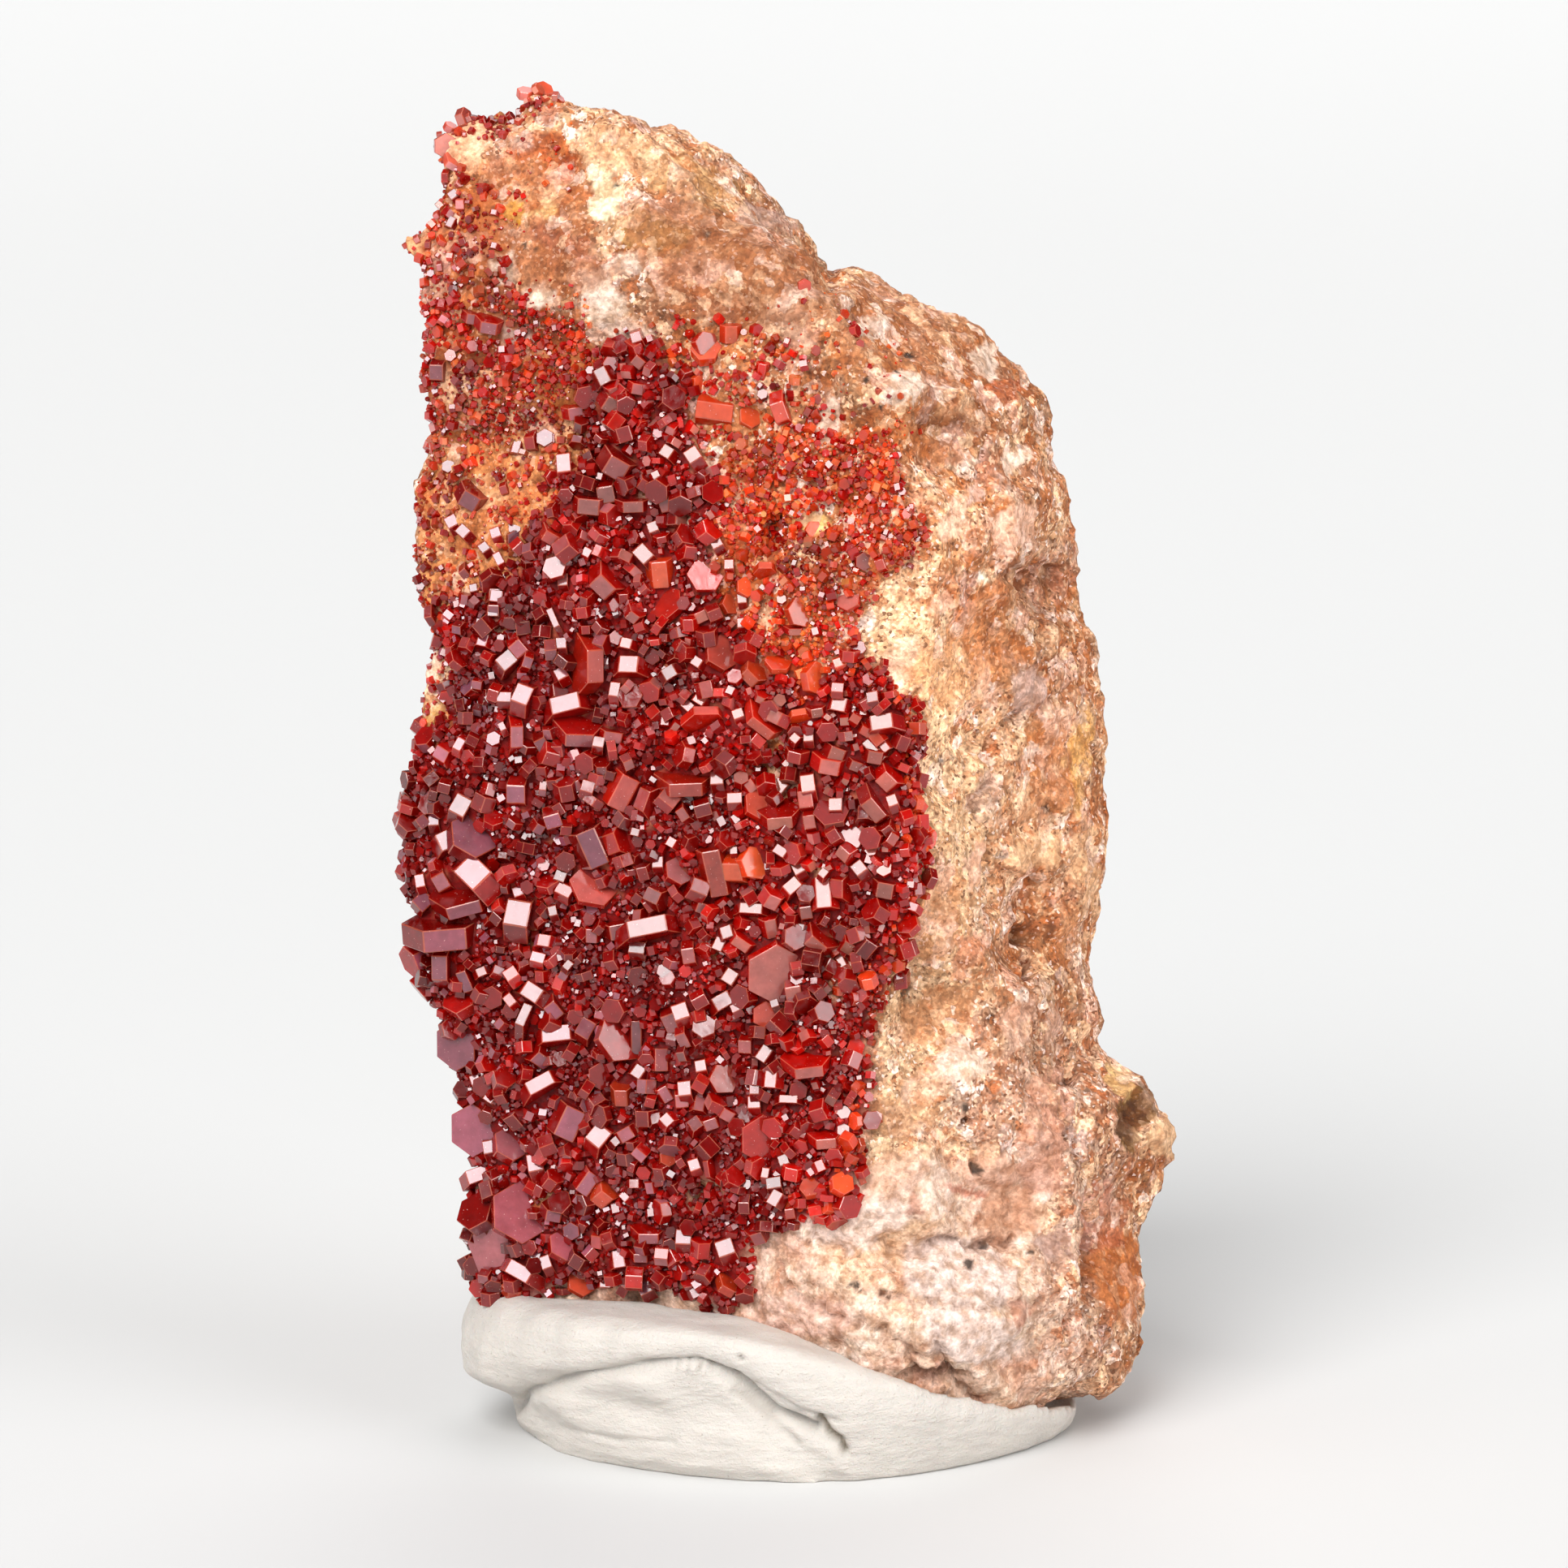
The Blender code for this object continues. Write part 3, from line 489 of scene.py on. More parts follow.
# Patches of colour on the rock, a few of them painted shade: pixel, half width, half height, turn in degrees,
# colour, strength.
PATCHES = (
    (1130, 430, 120, 84, -35, (196, 128, 80), 0.5), (655, 260, 74, 84, 0, (188, 118, 74), 0.62),
    (633, 267, 16, 14, 0, MUSTARD, 1.0), (672, 264, 14, 12, 0, (226, 196, 144), 0.6),
    (504, 297, 16, 24, 0, (240, 190, 150), 0.9), (511, 369, 13, 17, 0, (240, 190, 150), 0.9),
    (800, 286, 50, 22, -15, (218, 180, 104), 0.7), (850, 215, 60, 30, -20, (222, 186, 136), 0.5),
    (744, 238, 13, 30, 0, (255, 246, 222), 1.0), (770, 190, 70, 26, -10, CREAM, 0.6),
    (622, 333, 17, 17, 0, WHITE, 0.85), (664, 363, 20, 14, 0, WHITE, 0.85),
    (745, 375, 52, 22, -52, WHITE, 0.95), (782, 415, 18, 16, 0, WHITE, 0.8),
    (640, 408, 14, 12, 0, LILAC, 0.9), (770, 325, 40, 12, 15, WHITE, 0.75),
    (930, 262, 26, 16, -35, LILAC, 0.7), (851, 455, 14, 18, 0, WHITE, 0.8),
    (960, 290, 16, 24, 0, LILAC, 0.5), (1016, 525, 14, 32, 0, WHITE, 0.9),
    (974, 394, 22, 16, 0, WHITE, 0.6), (985, 420, 18, 16, 0, PALE_PINK, 0.7),
    (1074, 400, 22, 12, 10, WHITE, 0.9), (1112, 478, 26, 18, -20, WHITE, 0.95),
    (1211, 446, 12, 26, 20, WHITE, 0.9), (1177, 633, 18, 28, -25, PALE_PINK, 0.9),
    (1255, 566, 15, 18, 0, WHITE, 0.9), (1250, 655, 26, 38, -15, PALE_PINK, 0.9),
    (1205, 600, 20, 10, 50, LILAC, 0.8), (1207, 716, 11, 8, 0, (255, 248, 236), 1.0),
    (1160, 745, 18, 14, 0, PALE_PINK, 0.7), (1192, 770, 14, 22, 0, LILAC, 0.6),
    (1107, 825, 18, 46, -35, PALE_PINK, 0.8), (1266, 855, 24, 30, 10, LILAC, 0.9),
    (1300, 880, 12, 16, 0, PALE_PINK, 0.6), (1211, 965, 16, 24, 0, LILAC, 0.6),
    (1202, 1069, 13, 28, -10, PALE_PINK, 0.9), (1275, 1054, 34, 24, 30, CREAM, 0.8),
    (1196, 1180, 12, 34, -25, ROSE, 0.5), (1252, 1262, 16, 34, -20, PALE_PINK, 0.8),
    (1300, 1260, 14, 26, 10, PALE_PINK, 0.7), (1178, 1312, 34, 24, -10, WHITE, 1.0),
    (1140, 1335, 26, 18, 0, PALE_PINK, 0.7), (1062, 1505, 60, 30, 0, WHITE, 0.8),
    (1140, 1470, 40, 40, 0, WHITE, 0.55), (1178, 1573, 70, 40, -10, WHITE, 0.85),
    (1199, 1648, 60, 34, -10, WHITE, 0.9), (1100, 1450, 50, 30, 30, PALE_PINK, 0.6),
    (1222, 1440, 34, 24, 0, (232, 190, 170), 0.8), (1305, 1530, 26, 22, 10, LILAC, 0.7),
    (1290, 1390, 30, 80, -12, (214, 160, 140), 0.7), (990, 1620, 60, 26, 0, PALE_PINK, 0.6),
    (1124, 1486, 12, 18, 0, RUST, 0.5), (1255, 1615, 12, 20, -20, RUST, 0.45),
    (1195, 1474, 28, 7, -10, ROSE, 0.6), (1381, 1573, 30, 62, 6, (206, 130, 74), 0.9),
    # The olive patch at 1398, 1380 is darkened as painted shade in the hollow there.
    (1360, 1500, 26, 40, 0, ROSE, 0.55), (1398, 1380, 20, 40, -15, (128, 92, 46), 0.95),
    (1436, 1400, 12, 30, -10, CREAM, 0.9), (1380, 1330, 22, 12, -40, (238, 206, 150), 0.8),
    # The dark brown patch at 955, 655 is painted shade in the hollow there.
    (955, 655, 18, 30, 0, (120, 62, 30), 0.9), (985, 640, 34, 18, -20, (244, 214, 150), 0.8),
    (575, 900, 26, 24, 0, (236, 190, 130), 0.5), (538, 900, 18, 30, 10, (240, 196, 138), 0.95),
    (536, 828, 12, 22, 0, WHITE, 1.0), (575, 175, 26, 36, -20, (248, 204, 176), 0.9),
    (655, 184, 34, 16, 20, RUST, 0.6), (688, 214, 14, 26, -25, RUST, 0.7), (680, 142, 18, 14, 0, RUST, 0.6),
    (640, 180, 16, 12, 0, LILAC, 0.6), (690, 330, 60, 30, 0, (196, 132, 96), 0.6),
    (690, 470, 60, 44, 0, (214, 140, 84), 0.7), (1140, 545, 60, 16, -15, (190, 116, 62), 0.7),
    # The dark tan patch at 1165, 522 is a painted shadow under the ledge.
    (1165, 522, 40, 10, -20, (150, 92, 52), 0.7), (1235, 480, 24, 16, 20, (204, 110, 72), 0.6),
    # The four dark patches below are painted shade in the holes and pits there.
    (1262, 712, 16, 16, 0, (150, 92, 54), 0.7), (1302, 712, 16, 18, 0, (156, 94, 56), 0.7),
    (1264, 1150, 18, 16, 0, (120, 80, 54), 0.8), (1272, 1188, 10, 12, 0, (130, 60, 34), 0.9),
    (1150, 1130, 40, 60, 0, (196, 130, 78), 0.55), (1110, 1370, 50, 24, 0, (204, 150, 108), 0.6),
    (1155, 1255, 44, 34, 0, (200, 138, 92), 0.6), (1245, 1500, 34, 40, 0, (206, 146, 106), 0.6),
    (1290, 950, 26, 60, -8, (202, 140, 92), 0.6), (1330, 940, 14, 70, -5, (236, 190, 120), 0.6),
    (1336, 1070, 16, 60, 5, CREAM, 0.6), (1310, 1150, 20, 30, 0, (206, 150, 110), 0.5),
    (900, 330, 130, 60, -25, (180, 122, 86), 0.75), (850, 360, 60, 30, -20, (180, 120, 86), 0.6),
    (700, 300, 46, 16, -10, (186, 116, 92), 0.6), (1180, 830, 60, 50, 20, (196, 134, 84), 0.5),
    (1230, 780, 40, 60, 0, (190, 124, 74), 0.5), (634, 1600, 26, 12, 0, STAIN, 0.8),
)
# Dark mineral specks: pixel and size in pixels.
SPECKS = (
    (1122, 435, 6), (1103, 459, 5), (1089, 500, 5), (1074, 485, 4), (1067, 468, 4), (1126, 718, 6),
    (1161, 935, 4), (1151, 918, 4), (1139, 971, 3), (1121, 1016, 4), (1286, 996, 5), (1239, 1054, 5),
    (1118, 1218, 5), (1115, 1226, 4), (1223, 1256, 6), (1193, 1366, 6), (1199, 1438, 6), (1213, 1534, 6),
    (1194, 1557, 6), (1089, 1592, 5), (1054, 1583, 6), (1062, 1590, 4), (1095, 1600, 4), (1288, 1412, 4),
    (760, 227, 3), (645, 300, 5), (658, 308, 3), (636, 238, 3), (884, 246, 3), (870, 288, 3), (812, 326, 3),
    (848, 462, 4), (660, 472, 4), (1010, 510, 3), (1268, 1545, 3),
)
# Hollows in the rock: pixel, half width, half height, depth in millimetres. A negative depth stands out.
# Shade is painted in the hollows deeper than half a millimetre.
HOLLOWS = (
    (955, 655, 16, 26, 1.0), (1165, 530, 42, 12, 0.4), (1150, 492, 40, 16, -0.5), (1112, 476, 26, 18, -0.4),
    (1255, 712, 14, 14, 0.7), (1300, 712, 14, 16, 0.7), (1278, 680, 10, 16, -0.4),
    (1264, 1150, 16, 15, 1.1), (1272, 1188, 10, 13, 1.0), (1300, 1135, 18, 20, -0.4),
    (1275, 1054, 34, 26, -0.6), (1240, 1070, 9, 22, 0.5), (1319, 1322, 8, 15, 1.0), (1317, 1396, 5, 8, 0.8),
    (1317, 1640, 8, 13, 0.9), (1303, 1598, 8, 9, 0.5), (1195, 1384, 7, 6, 0.9), (1199, 1438, 6, 9, 0.7),
    (1222, 1440, 32, 22, -0.5), (1178, 1312, 34, 24, -0.4), (1199, 1640, 70, 40, -0.5),
    (1062, 1500, 50, 26, -0.3), (1398, 1380, 15, 34, 1.0), (1436, 1400, 12, 34, -0.4),
    (1345, 1560, 10, 90, 0.5), (748, 375, 50, 24, -0.25), (786, 279, 60, 30, -0.2), (705, 205, 16, 20, 0.4),
    (1150, 1702, 46, 13, 1.0), (1020, 350, 24, 14, 0.4), (1180, 1425, 20, 20, 0.4),
    (1255, 1500, 20, 12, 0.3), (1295, 1495, 14, 10, 0.3),
)
# Cracks and edges of ledges: half width in pixels, depth in millimetres, then the line in pixels.
# The deeper a crack, the more shade is painted along it.
CRACKS = (
    (4, 0.45, (
        (1262, 880), (1240, 893), (1226, 907), (1213, 932), (1221, 960), (1200, 982), (1212, 1006),
        (1226, 1033),
    )),
    (3, 0.35, ((1213, 935), (1196, 925), (1208, 905), (1206, 880))),
    (4, 0.4, ((1226, 1033), (1216, 1060), (1224, 1090), (1214, 1120))),
    (5, 0.5, ((1083, 1528), (1120, 1545), (1165, 1530), (1205, 1534), (1250, 1528))),
    (3, 0.3, ((1203, 492), (1218, 525), (1212, 559))),
    (4, 0.35, ((1286, 1304), (1310, 1360), (1348, 1457), (1352, 1594), (1368, 1690))),
    (3, 0.3, ((1107, 589), (1140, 640), (1150, 700))),
    (3, 0.25, ((1275, 690), (1268, 740), (1282, 790))),
    (3, 0.25, ((1265, 1225), (1280, 1280), (1276, 1340))),
    (3, 0.22, ((1100, 820), (1128, 852), (1136, 884))),
    (3, 0.25, ((980, 395), (1010, 425), (1000, 455))),
    (4, 0.3, ((1040, 1545), (1090, 1560), (1150, 1600), (1210, 1610), (1290, 1600))),
    (4, 0.4, ((960, 1560), (985, 1600), (1040, 1622), (1100, 1650), (1130, 1690))),
    (3, 0.3, ((1010, 1480), (1000, 1530), (1040, 1545))),
    (4, 0.4, ((1150, 1640), (1170, 1690), (1200, 1730))),
)
# Where the solids' outline is off the photo's: pixel, how far right and down to move it, and how far the
# move spreads.
ROCK_MOVES = (
    (560, 185, -16, -8, 28), (566, 148, -4, -18, 14), (608, 132, 0, 20, 16), (630, 118, 0, 34, 17),
    (526, 297, -20, 0, 24), (526, 369, -13, 0, 17), (1235, 1738, 0, 22, 44), (1376, 1716, -10, 20, 24),
    (668, 108, 0, -16, 14), (512, 300, -20, 0, 26), (520, 440, -12, 0, 40), (512, 610, -13, 0, 45),
    (520, 780, 30, 0, 40), (480, 1010, 8, 0, 40), (500, 1110, 12, 0, 40), (805, 130, 0, 26, 26),
    (765, 128, 0, 8, 20), (1026, 312, -4, 22, 22), (1200, 388, 0, 12, 30), (1250, 430, -10, 14, 34),
    (1440, 1450, 14, 0, 24), (1415, 1510, -10, 0, 24), (1330, 660, 6, 0, 40), (1345, 1250, 8, 0, 24),
    (1375, 1330, -4, 8, 24),
)
PUTTY_MOVES = (
    (580, 1655, -12, 0, 40), (600, 1705, -26, 4, 36), (640, 1752, -8, 4, 24), (700, 1800, -10, 4, 40),
    (1322, 1745, 4, 4, 30),
)
# The edge of the putty's upper fold, along which shade is painted.
FOLD = (
    (600, 1745), (632, 1738), (652, 1719), (686, 1705), (757, 1690), (796, 1683), (856, 1677), (879, 1689),
    (907, 1701), (954, 1744), (1006, 1764),
)
LOBE = FOLD + ((1041, 1788), (1060, 1850), (610, 1850))
# Streaks where the putty was pulled: pixel, half width, half height, turn in degrees, breadth of a streak in
# millimetres, depth in millimetres.
PUTTY_STREAKS = (
    (950, 1735, 130, 46, -32, 0.16, 0.08), (760, 1740, 150, 34, 12, 0.25, 0.05),
    (820, 1795, 200, 26, 0, 0.25, 0.05), (700, 1660, 130, 30, 8, 0.25, 0.05),
    (1150, 1760, 140, 40, -8, 0.25, 0.05),
)
# Dents and creases in the putty: half width in pixels, depth in millimetres, then the line in pixels.
# Shade is painted in the marks deeper than 0.2 millimetres.
PUTTY_MARKS = (
    (3, 0.35, ((911, 1672), (914, 1674))), (3, 0.3, ((874, 1687), (878, 1689))),
    (2, 0.3, ((860, 1680), (862, 1690))), (3, 0.3, ((904, 1697), (908, 1700))),
    (2, 0.25, ((846, 1680), (848, 1690))), (2, 0.25, ((832, 1681), (834, 1688))),
    (5, 0.5, ((1010, 1752), (1022, 1768), (1036, 1776), (1041, 1788))),
    (4, 0.25, ((905, 1712), (950, 1750), (985, 1776))), (3, 0.2, ((930, 1708), (985, 1740), (1030, 1752))),
    (4, 0.2, ((700, 1760), (760, 1775), (830, 1778))),
)


def direction_of(azimuth, elevation):
    """The direction towards an azimuth and an elevation in degrees."""
    azimuth, elevation = math.radians(azimuth), math.radians(elevation)
    level = math.cos(elevation)
    return Vector((math.sin(azimuth) * level, -math.cos(azimuth) * level, math.sin(elevation)))


# A crystal that flashes has a face turned this way, halfway between the main light and the camera.
FLASH = (direction_of(*LIGHTS["key"][:2]) + BACK).normalized()


def linear(colour):
    """A colour in 0 to 255 as linear light."""
    share = np.array(colour, float) / 255
    return np.where(share < 0.04045, share / 12.92, ((share + 0.055) / 1.055) ** 2.4)


def steps(values, low, high):
    """0 below low, 1 above high and smooth between."""
    share = np.clip((values - low) / (high - low), 0, 1)
    return share * share * (3 - 2 * share)


def between(values, start, full, fade, end):
    """0 before start and after end, 1 from full to fade and smooth between."""
    return steps(values, start, full) * (1 - steps(values, fade, end))


def fading(distance, width):
    """1 at no distance, falling smoothly to almost 0 at twice the width."""
    return np.exp(-((distance / width) ** 2))


def facing(normals):
    """How far each point faces the camera: 0 away from it, 1 towards it and smooth between."""
    return steps(normals @ np.array(BACK), -0.05, 0.2)


def photo_place(points):
    """Where points show in the photo's frame, in pixels."""
    from_aim = points - np.array(AIM)
    scale = DISTANCE / (DISTANCE - from_aim @ np.array(BACK)) / PIXEL
    return MIDDLE + from_aim[:, 0] * scale, MIDDLE - (from_aim @ np.array(UP)) * scale


def sight(x, y):
    """The direction from the camera through a pixel."""
    spot = AIM + Vector((x - MIDDLE, 0, 0)) * PIXEL + UP * ((MIDDLE - y) * PIXEL)
    return (spot - EYE).normalized()


def noises(points, size, seed=0.0, octaves=1):
    """Noise from about -1 to 1 at each point. Its lumps are about size millimetres."""
    places = (points / (size * MM) + seed).tolist()
    if octaves == 1:
        return np.array([noise.noise(p) for p in places])
    return np.array([noise.fractal(p, 0.9, 2.1, octaves) for p in places])


def clods(points, size, seed=0.0):
    """Rounded lumps with sharp creases between them: 1 at the middle of a lump, 0 or less in a crease."""
    places = (points / (size * MM) + seed).tolist()
    return np.array([1 - 1.6 * noise.voronoi(p)[0][0] for p in places])


def blocks(points, size, seed=0.0):
    """Angular blocks: a random number from 0 to 1 for each block, and each point's distance from its edge."""
    values, edges = [], []
    for place in (points / (size * MM) + seed).tolist():
        place = Vector(place)
        # Three separate noises bend the edges.
        bent = place * 1.7
        place += Vector([noise.noise(bent + Vector((shift, 0, 0))) for shift in (0, 31.4, 67.9)]) * 0.35
        near, middles = noise.voronoi(place)
        values.append(round(noise.noise(middles[0] * 37.7), 6))
        edges.append(near[1] - near[0])
    different, ranks = np.unique(values, return_inverse=True)
    return ranks / len(different), np.array(edges)


def line_distance(x, y, line):
    """The distance of each pixel from a line through the points given."""
    nearest = np.full(len(x), 1e9)
    for (x0, y0), (x1, y1) in zip(line, line[1:]):
        along_x, along_y = x1 - x0, y1 - y0
        share = ((x - x0) * along_x + (y - y0) * along_y) / (along_x**2 + along_y**2)
        share = np.clip(share, 0, 1)
        nearest = np.minimum(nearest, np.hypot(x - x0 - along_x * share, y - y0 - along_y * share))
    return nearest


def depth_inside(x, y, outline):
    """How far inside an outline each pixel is. It is negative outside."""
    crossings = np.zeros(len(x), bool)
    for (x0, y0), (x1, y1) in zip(outline, outline[1:] + outline[:1]):
        spans = (y0 > y) != (y1 > y)
        at = x0 + (x1 - x0) * (y - y0) / ((y1 - y0) or 1)
        crossings ^= spans & (x < at)
    away = line_distance(x, y, outline + outline[:1])
    return np.where(crossings, away, -away)


def blob(x, y, patch_x, patch_y, half_width, half_height, turn=0.0):
    """1 in the middle of an ellipse, falling to 0 at its edge and below 0 outside."""
    cos, sin = math.cos(math.radians(turn)), math.sin(math.radians(turn))
    right, up = x - patch_x, patch_y - y
    return 1 - np.hypot((right * cos + up * sin) / half_width, (up * cos - right * sin) / half_height)


def linked(name, data):
    """A new object in the scene for a mesh, a light or a camera."""
    obj = bpy.data.objects.new(name, data)
    bpy.context.scene.collection.objects.link(obj)
    return obj


def remeshed(node, name, size, rounds):
    """A copy of a CAD node's shape in even small quads, its facets eased without loss of size."""
    obj = linked(name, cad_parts[node].data.copy())
    grid = obj.modifiers.new("grid", "REMESH")
    grid.mode = "VOXEL"
    grid.voxel_size = size
    graph = bpy.context.evaluated_depsgraph_get()
    made = bpy.data.meshes.new_from_object(obj.evaluated_get(graph))
    obj.modifiers.clear()
    obj.data = made
    made.materials.clear()
    ends = np.empty(len(made.edges) * 2, int)
    made.edges.foreach_get("vertices", ends)
    ends = np.concatenate([ends.reshape(-1, 2), ends.reshape(-1, 2)[:, ::-1]])
    points, _ = points_of(made)
    counts = np.bincount(ends[:, 0], minlength=len(points))[:, None]
    for share in EASING * rounds:
        sums = [np.bincount(ends[:, 0], points[ends[:, 1], axis], len(points)) for axis in range(3)]
        points += share * (np.column_stack(sums) / counts - points)
    move_points(made, points)
    return obj


def refine(obj, wanted):
    """Splits in four the faces whose points are all wanted."""
    shape = bmesh.new()
    shape.from_mesh(obj.data)
    chosen = [all(wanted[v.index] for v in f.verts) for f in shape.faces]
    edges = [e for e in shape.edges if any(chosen[f.index] for f in e.link_faces)]
    bmesh.ops.subdivide_edges(shape, edges=edges, cuts=1, use_grid_fill=True)
    shape.to_mesh(obj.data)
    shape.free()


def points_of(mesh):
    """A mesh's points and their directions as arrays."""
    points, normals = np.empty(len(mesh.vertices) * 3), np.empty(len(mesh.vertices) * 3)
    mesh.vertices.foreach_get("co", points)
    mesh.vertex_normals.foreach_get("vector", normals)
    return points.reshape(-1, 3), normals.reshape(-1, 3)


def move_points(mesh, points):
    """Puts a mesh's points where the array says."""
    mesh.vertices.foreach_set("co", points.ravel())
    mesh.update()


def paint(mesh, colours, domain="POINT"):
    """Stores linear colours by point or corner, with the bareness where it is given, for the materials."""
    layer = mesh.color_attributes.new("tint", "FLOAT_COLOR", domain)
    if colours.shape[1] == 3:
        colours = np.column_stack([colours, np.ones(len(colours))])
    layer.data.foreach_set("color", colours.ravel())


def finished(obj, points, colours, material):
    """The object smooth, with its points, colours and material."""
    move_points(obj.data, points)
    paint(obj.data, colours)
    obj.data.materials.append(material)
    obj.data.shade_smooth()
    return obj


def nudged(points, moves):
    """The points moved in the photo's plane as a table of moves says."""
    x, y = photo_place(points)
    moved = points.copy()
    for px, py, right, down, spread in moves:
        share = np.exp(-((x - px) ** 2 + (y - py) ** 2) / spread**2)
        moved[:, 0] += share * right * PIXEL
        moved[:, 2] -= share * down * PIXEL
    return moved


def crust_share(points, normals, x, y, soft=16.0):
    """For each zone of crystals, how much of each point it covers, from 0 to 1."""
    faces_front = steps(-normals[:, 1], -0.35, 0.05)
    rough_x = x + 14 * noises(points, 2.2, 5.0)
    rough_y = y + 14 * noises(points, 2.2, 9.0)
    shares = {}
    gap = np.max([steps(blob(rough_x, rough_y, *row), -0.1, 0.4) for row in GAPS], axis=0)
    set_back = points[:, 1] - 2.2 * MM * noises(points, 7.0, 15.0, 3)
    for zone, back, *_ in SMALL_CRYSTALS:
        share = steps(depth_inside(rough_x, rough_y, zone), -soft / 2, soft / 2) * (1 - 0.85 * gap)
        shares[zone] = share * faces_front * (1 - steps(set_back, (back - 1) * MM, back * MM))
    return shares


def rock_relief(points, normals, x, y, zones, crumbs, wander):
    """How far each point of the rock moves outwards, in millimetres."""
    seen = facing(normals)
    bed = np.maximum(zones[DEEP_ZONE], 0.6 * np.maximum(zones[ORANGE_ZONE], zones[BAND_ZONE]))
    height = 0.42 * noises(points, 4.2, 1.0, 4) + 0.24 * (clods(points, 2.6, 3.0) - 0.4)
    for (rank, edge), (_, _, tall) in zip(crumbs, CRUMBS):
        height += tall * (rank - 0.5) * steps(edge, 0.0, 0.22) - 0.12 * tall * (1 - steps(edge, 0.0, 0.12))
    height += 0.15 * noises(points, 0.8, 2.0, 3)
    height *= 1 - 0.5 * bed
    height += bed * (0.55 + 0.35 * noises(points, 1.6, 4.0) + 0.45 * noises(points, 3.6, 14.0))
    ragged_x, ragged_y = x + 0.4 * wander, y - 0.4 * wander
    for px, py, wide, high, depth in HOLLOWS:
        inside = np.clip(blob(ragged_x, ragged_y, px, py, wide * 1.15, high * 1.15) * 2.2, 0, 1)
        height -= seen * depth * inside**0.7
    for wide, depth, line in CRACKS:
        height -= seen * 1.3 * depth * fading(line_distance(x + wander, y - wander, line), 1.25 * wide)
    return height


